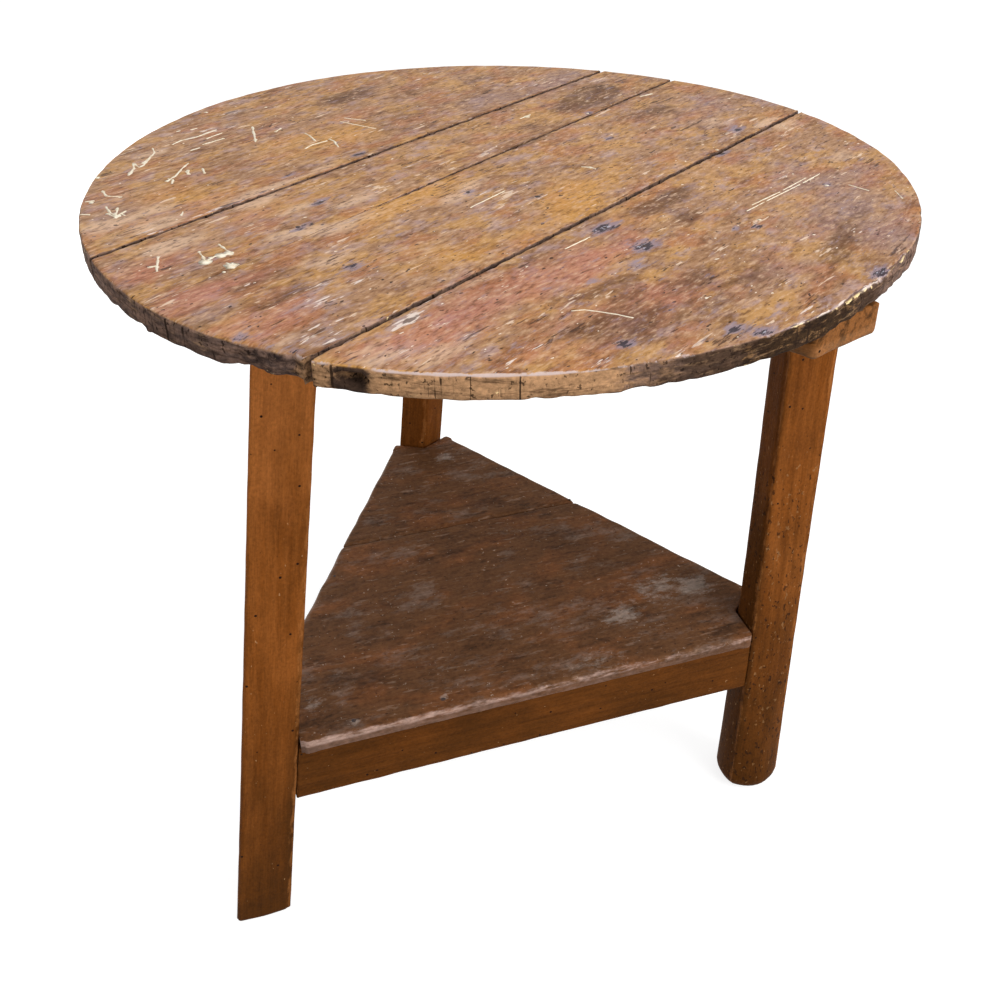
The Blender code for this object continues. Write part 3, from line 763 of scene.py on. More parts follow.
def rough(point, scale, use):
    """Smooth noise from 0 to 1."""
    salt = SALTS[use]
    return 0.5 + 0.5 * noise.noise(point * scale + Vector((salt, -salt, salt)))


def uneven(point, use):
    """A smooth factor from 0.5 to 1.5."""
    return 0.5 + rough(point, NOISE_SCALE, use)


def rim_damage(point):
    """How much of the rim's depth is lost at a place."""
    lost = 0.0
    for place, reach, depth in DAMAGE:
        lost += depth * math.sqrt(max(0, 1 - (point - place).xy.length / reach))
    return lost


def from_joints(along, across):
    """Distances across the boards to each joint between them."""
    return [across - start - slope * along for start, slope in JOINT_LINES]


def joint_distance(point):
    """Distance across the boards to the nearest joint."""
    return min(abs(distance) for distance in from_joints(point.dot(BOARD_WAY), point.dot(BOARD_ACROSS)))


def on_rim(point):
    return joint_distance(point) > JOINT_EDGE


def open_share(down):
    """1 at the upper side of a joint, 0 deep in it, where the boards nearly touch."""
    return min(1.0, max(0.0, (JOINT_DEPTH - down) / JOINT_FADE))


def hairline_share(point):
    """1 where a board's edge lies on the closed part of the second joint, 0 elsewhere."""
    along = point.dot(BOARD_WAY)
    if abs(from_joints(along, point.dot(BOARD_ACROSS))[HAIRLINE_JOINT]) > JOINT_REACH:
        return 0.0
    return min(1.0, max(0.0, (HAIRLINE_END - along) / HAIRLINE_FADE))


def board_rounds(point):
    """Rounding of the upper arris, and inset and height of the lower one."""
    if not on_rim(point):
        usual = JOINT_ROUND * uneven(point, "joint_round")
        worn = usual + (HAIRLINE_ROUND - usual) * hairline_share(point)
        return worn, JOINT_ROUND, JOINT_ROUND
    worn = RIM_ROUND + RIM_ROUND_SPREAD * (rough(point, NOISE_SCALE, "rim_round") - 0.5)
    damage = rim_damage(point)
    ragged = RIM_RAGGED * rough(point, CLOSE_NOISE_SCALE, "rim_low") ** RAGGED_POWER
    upper = worn + damage * DAMAGE_ROUND
    return upper, worn + damage * DAMAGE_INSET + ragged, upper + ragged


def knot_hole(point, down):
    along = (point - KNOT_HOLE_PLACE).xy.length / KNOT_HOLE_LENGTH
    drop = (down - KNOT_HOLE_DROP) / KNOT_HOLE_HEIGHT
    return KNOT_HOLE_DEPTH * math.sqrt(max(0, 1 - along * along - drop * drop))


def board_loss(point, down):
    """How far the side of a board has worn inward. Deep in a joint it reaches outward instead."""
    if not on_rim(point):
        apart = 1 - hairline_share(point)
        if point.xy.length < JOINT_END_RADIUS:
            apart *= open_share(down)
        ragged = JOINT_LOSS * rough(point, FINE_NOISE_SCALE, "joint_loss") ** RAGGED_POWER
        return ragged * apart - (joint_distance(point) - JOINT_LEFT) * (1 - apart)
    lower = point - UP * down
    nicks = RIM_LOSS * rough(lower, CLOSE_NOISE_SCALE, "rim_nicks") ** NICK_POWER
    broken = rim_damage(point) * rough(lower, FINE_NOISE_SCALE, "rim_break")
    return nicks + broken + knot_hole(point, down)


def board_dip(point):
    """How far the upper surface has worn down."""
    worn = SURFACE_WEAR + SURFACE_SPREAD * rough(point, BROAD_NOISE_SCALE, "surface")
    return worn + sum(DENT_DEPTH * spot.strength * spot_share(spot, point) for spot in DENTS)


def skin(point, down=0.0):
    """How far a slightly uneven surface has worn."""
    return SKIN_LOSS * rough(point - UP * down, NOISE_SCALE, "skin")


def shelf_rounds(point):
    """Rounding of the shelf's edges, which are tight where they meet a leg."""
    if min((point.xy - place).length for place in LEG_PLACES) < LEG_REACH:
        return TIGHT_ROUND, TIGHT_ROUND, TIGHT_ROUND
    share = uneven(point, "edge")
    return SHELF_ROUND * share, SHELF_LOW_ROUND * share, SHELF_LOW_ROUND * share


def shelf_loss(point, down):
    """Wear of the shelf's edge, which reaches close to the left leg and, deep in the joint, to its fellow."""
    behind = point.y > SHELF_FRONT + CLOSING_FRONT
    if behind and (point.xy - LEG_PLACES[0]).length < CLOSING_REACH:
        return -SHELF_CLOSING
    half_gap = abs(point.y - SHELF_JOINT)
    if half_gap < SHELF_JOINT_EDGE:
        apart = open_share(down)
        return skin(point, down) * apart - (half_gap - JOINT_LEFT) * (1 - apart)
    return skin(point, down)


def even_wear(upper):
    """Wear of a plain piece: rounded arrises and a slightly uneven skin."""

    def rounds(point):
        share = uneven(point, "edge")
        return upper * share, RAIL_ROUND * share, RAIL_ROUND * share

    return Wear(rounds, skin, skin)


# Worn solids


def samples(corners, step):
    """Points along an outline, each with the way it moves for each metre that the outline shrinks."""
    shifts = []
    for before, here, after in triples(corners):
        first = (here - before).normalized()
        tangent = (first + (after - here).normalized()).normalized()
        normal = Vector((-tangent.y, tangent.x))
        shifts.append(normal / normal.dot(Vector((-first.y, first.x))))
    found = []
    for index, (start, end) in enumerate(pairs(corners)):
        count = math.ceil((end - start).length / step)
        following = shifts[(index + 1) % len(corners)]
        for part in range(count):
            share = part / count
            found.append((start.lerp(end, share), shifts[index].lerp(following, share)))
    return found


def edge_profile(top_round, low_inset, low_height, thickness):
    """Inset, depth and share of side, over the upper arris, down the side and under the lower arris."""
    turns = [QUARTER_TURN * step / ARC_STEPS for step in range(ARC_STEPS + 1)]
    profile = [(top_round * (1 - math.sin(a)), top_round * (1 - math.cos(a)), math.sin(a)) for a in turns]
    straight = thickness - top_round - low_height
    for step in range(1, SIDE_STEPS):
        profile.append((0, top_round + straight * step / SIDE_STEPS, 1))
    for a in turns:
        profile.append((low_inset * (1 - math.cos(a)), thickness - low_height * (1 - math.sin(a)), 1))
    return profile


def crossings(polygon, y):
    """Where an outline crosses a level, from left to right."""
    found = []
    for a, b in pairs(polygon):
        if (a.y > y) != (b.y > y):
            found.append(a.x + (b.x - a.x) * (y - a.y) / (b.y - a.y))
    return sorted(found)


def inside(point, polygon):
    return sum(x > point.x for x in crossings(polygon, point.y)) % 2 == 1


def grid_points(polygon, step):
    """Rows of points inside a polygon."""
    found = []
    low = min(point.y for point in polygon)
    high = max(point.y for point in polygon)
    count = max(1, round((high - low) / step))
    for row in range(1, count):
        y = low + (high - low) * row / count
        places = crossings(polygon, y)
        shift = step / 2 * (row % 2)
        for start, end in zip(places[::2], places[1::2]):
            x = start + step / 2 + shift
            while x < end - step / 2:
                found.append(Vector((x, y)))
                x += step
    return found


def dent_points(polygon, place):
    """Closer points inside each dent that lies well inside a polygon in a piece's own frame."""
    found = []
    inverse = place.inverted()
    for spot in DENTS:
        middle = (inverse @ spot.place).xy
        count_x = math.ceil(spot.length / SPOT_STEP)
        count_y = math.ceil(spot.width / SPOT_STEP)
        for column in range(-count_x, count_x + 1):
            for row in range(-count_y, count_y + 1):
                offset = Vector((column * spot.length / count_x, row * spot.width / count_y))
                within = math.hypot(column / count_x, row / count_y) < 1
                if within and inside(middle + offset * DENT_MARGIN, polygon):
                    found.append(middle + offset)
    return found


def ring_faces(count, rings, first=0, rising=False):
    """Faces between rings of points that follow each other downward or, rising, upward."""
    faces = []
    for here in range(first, first + (rings - 1) * count, count):
        there = here + count
        for index in range(count):
            after = (index + 1) % count
            if rising:
                faces.append((here + index, here + after, there + after, there + index))
            else:
                faces.append((here + index, there + index, there + after, here + after))
    return faces


def slab(node, place, wear, step, depth=None, dented=False):
    """A worn plate in the place of a node, in the piece's own frame. Its outline is read at a depth."""
    low, high = levels_of(node, place)
    corners = section(node, place, high - (depth or (high - low) / 2))
    columns = []
    for point, shift in samples(corners, step):
        where = place @ Vector((point.x, point.y, high))
        column = []
        for inset, down, side in edge_profile(*wear.rounds(where), high - low):
            moved = point + shift * (inset + wear.loss(where, down))
            column.append((Vector((moved.x, moved.y, high - down)), side))
        columns.append(column)
    count = len(columns)
    rows = len(columns[0])
    points = [column[row][0] for row in range(rows) for column in columns]
    sides = [column[row][1] for row in range(rows) for column in columns]
    faces = ring_faces(count, rows)
    faces.append([(rows - 1) * count + index for index in reversed(range(count))])
    ring = [point.xy for point in points[:count]]
    inner = grid_points(ring, max(step, FACE_STEP))
    if dented:
        inner += dent_points(ring, place)
    made = geometry.delaunay_2d_cdt(ring + inner, [], [range(count)], INSIDE_ONLY, WELD)
    flat, _, triangles, origins, _, _ = made
    numbers = []
    for spot, sources in zip(flat, origins):
        if sources and sources[0] < count:
            numbers.append(sources[0])
        else:
            numbers.append(len(points))
            points.append(Vector((spot.x, spot.y, high)))
            sides.append(0)
    faces.extend([numbers[index] for index in triangle] for triangle in triangles)
    for point in points:
        if point.z > (low + high) / 2:
            point.z -= wear.dip(place @ point)
    return Solid(points, faces, sides)


def corner_wear(point, corners):
    """Extra inset near the corners of a post's section."""
    nearest = min((point - corner).length for corner in corners)
    return POST_ROUND_SHARE * max(0, POST_ROUND - nearest) ** 2 / POST_ROUND


def main_corners(corners):
    """One point for each corner of a section, where a rounded one has several close together."""
    kept = []
    for corner in corners:
        if all((corner - other).length > CORNER_REACH for other in kept):
            kept.append(corner)
    return kept


def post(node):
    """A worn leg in the place of a node, with its axis, in the table's frame."""
    leg = LEG_WEAR[node]
    low_ring = section(node, UPRIGHT, SECTION_LOW)
    ring = section(node, UPRIGHT, SECTION_HIGH)
    middles = [middle_of(loop) for loop in (low_ring, ring)]
    lean = (middles[1] - middles[0]) / (SECTION_HIGH - SECTION_LOW)
    top = levels_of(node, UPRIGHT)[1]
    aside = Vector(leg.shift)
    foot_round = leg.foot_round
    turns = [QUARTER_TURN * step / FOOT_STEPS for step in range(FOOT_STEPS)]
    foot_rows = [foot_round * (1 - math.cos(turn)) for turn in turns]
    count = math.ceil((top - foot_round) / POST_STEP)
    heights = foot_rows + [foot_round + (top - foot_round) * row / count for row in range(count + 1)]
    corners = main_corners(ring)
    columns = samples(ring, POST_STEP)
    radius = sum((point - middles[1]).length for point, _ in columns) / len(columns)
    points = []
    sides = []
    for height in heights:
        base = lean * (height - SECTION_HIGH)
        middle = middles[1] + base
        splay = max(0, 1 - height / SWELL_HEIGHT) ** SWELL_POWER
        drop = max(0, foot_round - height)
        foot_inset = foot_round - math.sqrt(foot_round ** 2 - drop ** 2)
        scale = (1 + leg.swell * splay) * (1 - foot_inset / FOOT_HALF_WIDTH)
        for point, shift in columns:
            where = (point + base).to_3d() + UP * height
            loss = SKIN_LOSS * rough(where, NOISE_SCALE, "leg_skin") + corner_wear(point, corners)
            spoke = point + base + shift * loss - middle
            turned = spoke.lerp(spoke.normalized() * radius, leg.turn * splay)
            moved = middle + turned * scale + aside * splay
            points.append(Vector((moved.x, moved.y, height)))
            sides.append(max(0, 1 - min((point - corner).length for corner in corners) / CORNER_REACH))
    width = len(columns)
    faces = ring_faces(width, len(heights), rising=True)
    faces.append(list(reversed(range(width))))
    faces.append([len(points) - width + index for index in range(width)])
    return Solid(points, faces, sides), Vector((lean.x, lean.y, 1)).normalized()


# Places of the spots and of the damage

RIM_POINTS = []
for board in TOP_BOARDS:
    outline = [point for point, _ in samples(board_outline(board), EDGE_STEP)]
    edge = [BOARD_FRAME @ point.to_3d() + UP * TOP_HEIGHT for point in outline]
    RIM_POINTS.extend(point for point in edge if on_rim(point))
SPOTS = spots_at(TOP_SPOTS, TOP_HEIGHT, BOARD_WAY)
RIM_MARKS = rim_spots()
SHELF_MARKS = spots_at(SHELF_SPOTS, SHELF_HEIGHT, ALONG_X)
DENTS = [spot for spot in SPOTS if spot.kind == "dent"]
DAMAGE = [(rim_place(pixel), reach, depth) for pixel, reach, depth in RIM_DAMAGE]
KNOT_HOLE_PLACE = rim_place(KNOT_HOLE_PIXEL)
HAIRLINE_END = at_height(HAIRLINE_END_PIXEL, TOP_HEIGHT).dot(BOARD_WAY)
LEG_PLACES = [middle_of(section(node, UPRIGHT, SHELF_HEIGHT)) for node in LEGS]


# Colour attributes


def spot_shares(spot, places):
    """spot_share for many places at once."""
    offset = places - numpy.array(spot.place)
    along = offset @ numpy.array(spot.along) / spot.length
    across = offset @ numpy.array(UP.cross(spot.along)) / spot.width
    return numpy.maximum(0, 1 - numpy.hypot(along, across)) * spot.strength


def blank_paint(places, sides):
    """The channels of both attributes, all empty but the share of side."""
    paint = {name: numpy.zeros(len(places)) for names in ATTRIBUTES.values() for name in names}
    paint["side"] += sides
    return paint


def top_paint(places, sides):
    """Wear, painted sheen and colour zones of the top boards: surface spots above, rim spots on the side."""
    paint = blank_paint(places, sides)
    side = paint["side"]
    along = places @ numpy.array(BOARD_WAY)
    distances = from_joints(along, places @ numpy.array(BOARD_ACROSS))
    outer = numpy.hypot(places[:, 0], places[:, 1]) > RIM_START
    outer &= numpy.min(numpy.abs(distances), axis=0) > JOINT_SIDE
    rim = side * outer
    arris = ARRIS_PEAK * rim * (1 - rim)
    level = places * numpy.array((1, 1, 0)) + numpy.array((0, 0, TOP_HEIGHT))
    for spots, weight in ((SPOTS, 1 - side), (RIM_MARKS, rim)):
        for spot in spots:
            share = spot_shares(spot, level)
            if spot.kind == "chip":
                paint["graze"] += share * arris
            else:
                paint[spot.kind] += share * weight
    low = (TOP_HEIGHT - places[:, 2] - LOW_DARKENING_START) / LOW_DARKENING_FADE
    paint["dark"] += rim * LOW_DARKENING * numpy.clip(low, 0, 1)
    paint["char"] += JOINT_CHAR * side * ~outer
    for number, distance in enumerate(distances):
        near = numpy.clip(1 - numpy.abs(distance) / JOINT_DIRT_REACH, 0, 1)
        if number == HAIRLINE_JOINT:
            near *= numpy.clip((along - HAIRLINE_END) / HAIRLINE_FADE, 0, 1)
        paint["dark"] += JOINT_DIRT * near
    return paint


def shelf_paint(places, sides):
    """Dust and scuffs on the shelf, and its worn front edge with a painted highlight."""
    paint = blank_paint(places, sides)
    front = SHELF_FRONT + SHELF_NOSING_DEPTH
    nosing = numpy.interp(places[:, 0], NOSING_ENDS, NOSING_SHARES)
    # The front edge is pale worn wood with a painted highlight
    paint["side"] *= numpy.where(places[:, 1] < front, nosing, SHELF_EDGE_SHARE)
    for spot in SHELF_MARKS:
        paint[spot.kind] += spot_shares(spot, places)
    lip = (SHELF_HEIGHT - places[:, 2] - SHELF_LIP) / SHELF_LIP_FADE
    paint["dark"] += numpy.clip(lip, 0, 1)
    return paint


def leg_paint(node, places, sides):
    """Legs darken towards their feet, and with painted shade all over and on their inner sides; their heads
    are brighter and redder, partly painted light.
    """
    leg = LEG_WEAR[node]
    paint = blank_paint(places, sides)
    slope, middle = numpy.polyfit(places[:, 2], places[:, :2], 1)
    inward = -middle / numpy.hypot(*middle)
    depth = (places[:, :2] - middle - slope * places[:, 2:]) @ inward
    inner = numpy.clip((depth - INNER_SHADE_START) / INNER_SHADE_FADE, 0, 1)
    low = numpy.clip(1 - places[:, 2] / LEG_DARK_HEIGHT, 0, 1)
    dirt = numpy.clip(1 - places[:, 2] / FOOT_DIRT_HEIGHT, 0, 1)
    high = numpy.clip((places[:, 2] - LEG_HEAD_LIGHT_START) / LEG_HEAD_LIGHT_FADE, 0, 1)
    # tint and inner are painted shade, and red at the head is partly painted light against the shade under
    # the top
    paint["dark"] += leg.tint + leg.low * low + leg.inner * inner + FOOT_DIRT * dirt
    paint["red"] += leg.red * high
    paint["graze"] += leg.worms * (1 - high)
    return paint


def stretcher_paint(places, sides):
    """Stretchers are a little darker than the legs."""
    paint = blank_paint(places, sides)
    paint["dark"] += STRETCHER_DARK
    return paint


def batten_paint(places, sides):
    """The batten has lost most of its stain, and has painted shade on its upper part, under the top."""
    paint = blank_paint(places, sides)
    outer = (numpy.hypot(places[:, 0], places[:, 1]) - BATTEN_START) / BATTEN_FADE
    paint["honey"] += BATTEN_BARE * (BATTEN_LEAST + (1 - BATTEN_LEAST) * numpy.clip(outer, 0, 1))
    # Painted shade under the top's rim darkens the batten's upper part
    painted_shade = (places[:, 2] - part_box(BATTEN)[0].z - BATTEN_UNSHADED) / BATTEN_UNSHADED
    paint["dark"] += BATTEN_SHADE * numpy.clip(painted_shade, 0, 1)
    return paint


# Pieces


def add_object(name, points, faces, material):
    mesh = bpy.data.meshes.new(name)
    mesh.from_pydata(points, [], faces)
    mesh.shade_smooth()
    mesh.materials.append(material)
    piece = bpy.data.objects.new(name, mesh)
    bpy.context.scene.collection.objects.link(piece)
    return piece


def add_piece(node, solid, place, grain, material, paint):
    """Adds a worn mesh in the place of a node. Its grain attribute holds each point in the grain's frame."""
    world = [place @ point for point in solid.points]
    piece = add_object(node + "_worn", world, solid.faces, material)
    to_grain = grain.inverted()
    spaces = numpy.array([to_grain @ point for point in world])
    attributes = piece.data.attributes
    attributes.new("grain", "FLOAT_VECTOR", "POINT").data.foreach_set("vector", spaces.ravel())
    channels = paint(numpy.array(world), solid.sides)
    for name, parts in ATTRIBUTES.items():
        colours = numpy.stack([channels[part] for part in parts], axis=1)
        attributes.new(name, "FLOAT_COLOR", "POINT").data.foreach_set("color", colours.ravel())
    piece.data.validate()
    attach(piece, "root")
    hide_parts(node)


def grain_origin(node):
    return Vector((0, 0, -GRAIN_DEPTH_STEP * GRAIN_ORDER.index(node)))


def dress_slab(node, along, normal, solid_wear, step, material, slot, paint, **shape):
    """Puts a worn plate in the place of a node, with its grain along it."""
    place = own_frame(Vector(), along, normal)
    grain = own_frame(grain_origin(node), along, normal)
    solid = slab(node, place, solid_wear, step, **shape)
    add_piece(node, solid, place, grain, material, paint)


def dress_top(material):
    wear = Wear(board_rounds, board_loss, board_dip)
    for node in TOP_BOARDS:
        dress_slab(node, BOARD_WAY, UP, wear, EDGE_STEP, material, "worn_top", top_paint, dented=True)


def dress_shelf(material):
    wear = Wear(shelf_rounds, shelf_loss, skin)
    for node in SHELF_BOARDS:
        dress_slab(node, ALONG_X, UP, wear, EDGE_STEP, material, "dark_shelf", shelf_paint)


def dress_stretchers(material):
    wear = even_wear(RAIL_ROUND)
    look = (material, "stained_frame", stretcher_paint)
    for node in STRETCHERS:
        normal = show_face(node)
        along = UP.cross(normal).normalized()
        dress_slab(node, along, normal, wear, RAIL_STEP, *look, depth=RAIL_SECTION_DEPTH)


def dress_batten(material):
    wear = even_wear(BATTEN_ROUND)
    dress_slab(BATTEN, BOARD_ACROSS, -UP, wear, RAIL_STEP, material, "stained_frame", batten_paint)


def dress_legs(material):
    side = UP.cross(ALONG_X)
    for node in LEGS:
        solid, axis = post(node)
        grain = own_frame(grain_origin(node), axis, axis.cross(side).normalized())
        paint = functools.partial(leg_paint, node)
        add_piece(node, solid, UPRIGHT, grain, material, paint)


def spokes(count):
    """Level directions all round."""
    turns = [FULL_TURN * side / count for side in range(count)]
    return [Vector((math.cos(turn), math.sin(turn), 0)) for turn in turns]


def nail(node):
    """A hand-made nail in the place of a node: an uneven head, near the worn surface, and a thin shank."""
    low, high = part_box(node)
    middle = (low + high) / 2
    radius = (high.x - low.x) / 2
    on_top = high.z > TOP_HEIGHT / 2
    worn = board_dip(middle) if on_top else skin(middle)
    top = (TOP_HEIGHT if on_top else SHELF_HEIGHT) - worn + NAIL_RISE
    rings = [(share, top - drop) for share, drop in NAIL_RINGS] + [(NAIL_POINT_SHARE, low.z)]
    points = [Vector((middle.x, middle.y, top))]
    for share, height in rings:
        for aim in spokes(NAIL_SIDES):
            spread = NAIL_SPREAD * rough(middle + aim * radius, NAIL_NOISE_SCALE, "nail")
            reach = radius * share * (1 - spread)
            points.append(Vector((middle.x, middle.y, height)) + aim * reach)
    faces = ring_faces(NAIL_SIDES, len(rings), first=1)
    faces.extend((0, 1 + side, 1 + (side + 1) % NAIL_SIDES) for side in range(NAIL_SIDES))
    faces.append([len(points) - 1 - side for side in range(NAIL_SIDES)])
    return Solid(points, faces, [0.0] * len(points))


def dress_nails(material):
    for node in NAILS:
        add_piece(node, nail(node), UPRIGHT, UPRIGHT, material, blank_paint)


# Materials


def tint(colour):
    """A linear colour from its usual 8-bit values."""
    linear = Color([value / EIGHT_BIT_WHITE for value in colour]).from_srgb_to_scene_linear()
    return (*linear, 1.0)


class Nodes:
    """A node tree whose nodes are added and joined by short calls."""

    def __init__(self, tree):
        self.tree = tree

    def put(self, socket, value):
        if isinstance(value, bpy.types.NodeSocket):
            self.tree.links.new(value, socket)
        else:
            socket.default_value = value

    def put_all(self, sockets, values):
        for name, value in values.items():
            self.put(sockets[name], value)

    def make(self, kind, values, **settings):
        """Adds a node with its input values and settings, and gives its outputs."""
        node = self.tree.nodes.new(kind)
        for name, value in settings.items():
            setattr(node, name, value)
        self.put_all(node.inputs, values)
        return node.outputs

    def maths(self, operation, first, second):
        return self.make("ShaderNodeMath", {0: first, 1: second}, operation=operation)["Value"]

    def seen_rays(self):
        """1 for rays from the camera and for reflections, 0 for light that falls on the table."""
        path = self.make("ShaderNodeLightPath", {})
        return self.maths("MAXIMUM", path["Is Camera Ray"], path["Is Glossy Ray"])


class Shade(Nodes):
    """The nodes of a material."""

    def __init__(self, name):
        self.material = bpy.data.materials.new(name)
        self.material.use_nodes = True
        super().__init__(self.material.node_tree)
        self.shader = self.tree.nodes["Principled BSDF"].inputs

    def channels(self):
        """The channels of the two colour attributes, by name."""
        found = {}
        for name, parts in ATTRIBUTES.items():
            carried = self.make("ShaderNodeAttribute", {}, attribute_name=name)
            split = self.make("ShaderNodeSeparateColor", {"Color": carried["Color"]})
            found.update(zip(parts, (*split, carried["Alpha"])))
        return found

    def grain(self):
        return self.make("ShaderNodeAttribute", {}, attribute_name="grain")["Vector"]

    def times(self, first, second):
        return self.maths("MULTIPLY", first, second)

    def plus(self, first, second):
        return self.maths("ADD", first, second)

    def ramp(self, value, low, high):
        """0 at low, 1 at high, smooth between them."""
        values = {"Value": value, "From Min": low, "From Max": high}
        return self.make("ShaderNodeMapRange", values, interpolation_type="SMOOTHSTEP")["Result"]

    def mix(self, share, first, second):
        node = self.tree.nodes.new("ShaderNodeMix")
        node.data_type = "RGBA"
        colours = [socket for socket in node.inputs if socket.type == "RGBA"]
        self.put(node.inputs["Factor"], share)
        self.put(colours[0], first)
        self.put(colours[1], second)
        return next(socket for socket in node.outputs if socket.type == "RGBA")

    def stretch(self, vector, scales):
        """Values for a texture whose coordinates are stretched."""
        values = {0: vector, 1: scales}
        stretched = self.make("ShaderNodeVectorMath", values, operation="MULTIPLY")["Vector"]
        return {"Vector": stretched, "Scale": 1.0}

    def noise(self, vector, scales, detail, roughness):
        values = {**self.stretch(vector, scales), "Detail": detail, "Roughness": roughness}
        return self.make("ShaderNodeTexNoise", values)["Fac"]

    def cells(self, vector, scales):
        """Distance to the nearest of scattered points."""
        return self.make("ShaderNodeTexVoronoi", self.stretch(vector, scales))["Distance"]

    def wavy(self, vector, scales, amount):
        """A vector pushed sideways by slow noise, so that the grain runs in waves."""
        slow = self.make("ShaderNodeTexNoise", self.stretch(vector, scales))["Color"]
        values = {0: slow, 1: (0.0, amount, amount), 2: vector}
        return self.make("ShaderNodeVectorMath", values, operation="MULTIPLY_ADD")["Vector"]

    def spread(self, level, amount):
        """A noise about 0, by an amount."""
        return self.times(self.plus(level, -NOISE_MIDDLE), amount)

    def lay(self, colour, vector, layer, channels):
        """Mixes a layer's colour in where its noise, or its channel and noise, pass the layer's limits."""
        level = self.noise(vector, layer.stretch, layer.detail, layer.roughness)
        if layer.channel:
            level = self.plus(self.spread(level, layer.amount), channels[layer.channel])
        share = self.times(self.ramp(level, layer.start, layer.full), layer.share)
        return self.mix(share, colour, tint(layer.colour))

    def lay_all(self, colour, vector, layers, channels):
        for layer in layers:
            colour = self.lay(colour, vector, layer, channels)
        return colour

    def swing(self, vector, swings):
        """A factor about 1 that rises and falls with several noises."""
        factor = 1.0
        for part in swings:
            level = self.noise(vector, part.stretch, part.detail, part.roughness)
            factor = self.plus(factor, self.spread(level, part.amount))
        return factor

    def scale(self, colour, factor):
        values = {0: colour, "Scale": factor}
        return self.make("ShaderNodeVectorMath", values, operation="SCALE")["Vector"]

    def dull(self, finish, level):
        """Roughness that rises with a noise."""
        return self.plus(finish.roughness, self.times(level, finish.spread))

    def finish(self, colour, finish, roughness, height):
        bump = self.make("ShaderNodeBump", {"Height": height, "Distance": finish.bump})
        self.put_all(self.shader, {
            "Base Color": colour,
            "Roughness": roughness,
            "Specular IOR Level": finish.specular,
            "Normal": bump["Normal"],
        })
        return self.material


def top_material():
    """Old worn boards, with other colours on their sides, a rubbed arris with a painted highlight, and
    painted sheen and reflections.
    """
    shade = Shade("worn_top")
    straight = shade.grain()
    channels = shade.channels()
    side = channels["side"]
    grain = shade.wavy(straight, *TOP_WAVE)
    channels["busy"] = shade.noise(grain, *BUSY_NOISE)
    channels["chalky"] = shade.noise(grain, *CHALKY_NOISE)
    colour = shade.lay_all(tint(TOP_BASE), grain, TOP_HUES + TOP_MARKS, channels)
    rim = shade.lay_all(tint(RIM_BASE), straight, RIM_LAYERS, channels)
    rim = shade.scale(rim, shade.swing(straight, RIM_SWINGS))
    rubbed = shade.noise(straight, *RUBBED_NOISE)
    # The arris is rubbed pale and carries a painted highlight, strongest on the pale front
    arris = shade.times(shade.ramp(side, *ARRIS_START), shade.ramp(side, *ARRIS_END))
    bare_and_lit = shade.plus(rubbed, shade.times(channels["honey"], ARRIS_HONEY))
    arris = shade.times(arris, shade.ramp(bare_and_lit, *ARRIS_WEAR_AND_HIGHLIGHT_LIMITS))
    arris = shade.times(arris, shade.ramp(channels["char"], *ARRIS_CHAR))
    colour = shade.mix(shade.ramp(side, *RIM_BLEND), colour, rim)
    colour = shade.mix(shade.times(arris, ARRIS_WEAR_AND_HIGHLIGHT_SHARE), colour, tint(ARRIS_WEAR_AND_HIGHLIGHT))
    roughness = shade.plus(shade.dull(TOP_FINISH, rubbed), shade.times(side, TOP_SIDE_ROUGHNESS))
    return shade.finish(colour, TOP_FINISH, roughness, shade.swing(grain, TOP_SWINGS))


def frame_material():
    shade = Shade("stained_frame")
    return stain(shade, shade.grain(), shade.channels())


def stain(shade, straight, channels):
    """Orange-brown stain on straight-grained wood, with worm holes, rubbed corners and dirt."""
    grain = shade.wavy(straight, *FRAME_WAVE)
    swing = shade.swing(grain, FRAME_SWINGS)
    colour = shade.scale(shade.lay_all(tint(FRAME_BASE), grain, FRAME_LAYERS, channels), swing)
    holes = shade.cells(straight, HOLE_CELLS)
    colour = shade.mix(shade.ramp(holes, *HOLE_EDGE), colour, tint(HOLE_COLOUR))
    streaks = shade.noise(grain, *FRAME_STREAKS)
    return shade.finish(colour, FRAME_FINISH, shade.dull(FRAME_FINISH, streaks), swing)


def shelf_material():
    shade = Shade("dark_shelf")
    grain = shade.wavy(shade.grain(), *FRAME_WAVE)
    swing = shade.swing(grain, SHELF_SWINGS)
    colour = shade.scale(shade.lay_all(tint(SHELF_BASE), grain, SHELF_LAYERS, shade.channels()), swing)
    streaks = shade.noise(grain, *SHELF_STREAKS)
    return shade.finish(colour, SHELF_FINISH, shade.dull(SHELF_FINISH, streaks), swing)


def iron_material():
    shade = Shade("iron")
    rust = shade.noise(shade.grain(), *RUST_NOISE)
    colour = shade.mix(shade.ramp(rust, *RUST_LIMITS), *map(tint, IRON_COLOURS))
    shade.put(shade.shader["Metallic"], IRON_METALLIC)
    return shade.finish(colour, IRON_FINISH, shade.dull(IRON_FINISH, rust), rust)


def rail_material(node):
    """The frame's stain for a rail that keeps its own mesh, with the grain along the rail."""
    shade = Shade("stained_" + node)
    normal = show_face(node)
    values = {
        "Vector": shade.make("ShaderNodeTexCoord", {})["Object"],
        "Rotation": (0, 0, math.atan2(normal.x, -normal.y)),
    }
    grain = shade.make("ShaderNodeMapping", values, vector_type="TEXTURE")["Vector"]
    return stain(shade, grain, RAIL_CHANNELS)


def paint_material():
    shade = Shade("old_paint")
    place = shade.make("ShaderNodeTexCoord", {})["Object"]
    dirt = shade.noise(place, *PAINT_DIRT)
    colour = shade.mix(shade.ramp(dirt, *PAINT_LIMITS), *map(tint, PAINT_COLOURS))
    return shade.finish(colour, PAINT_FINISH, PAINT_FINISH.roughness, dirt)


# Paint and scratches


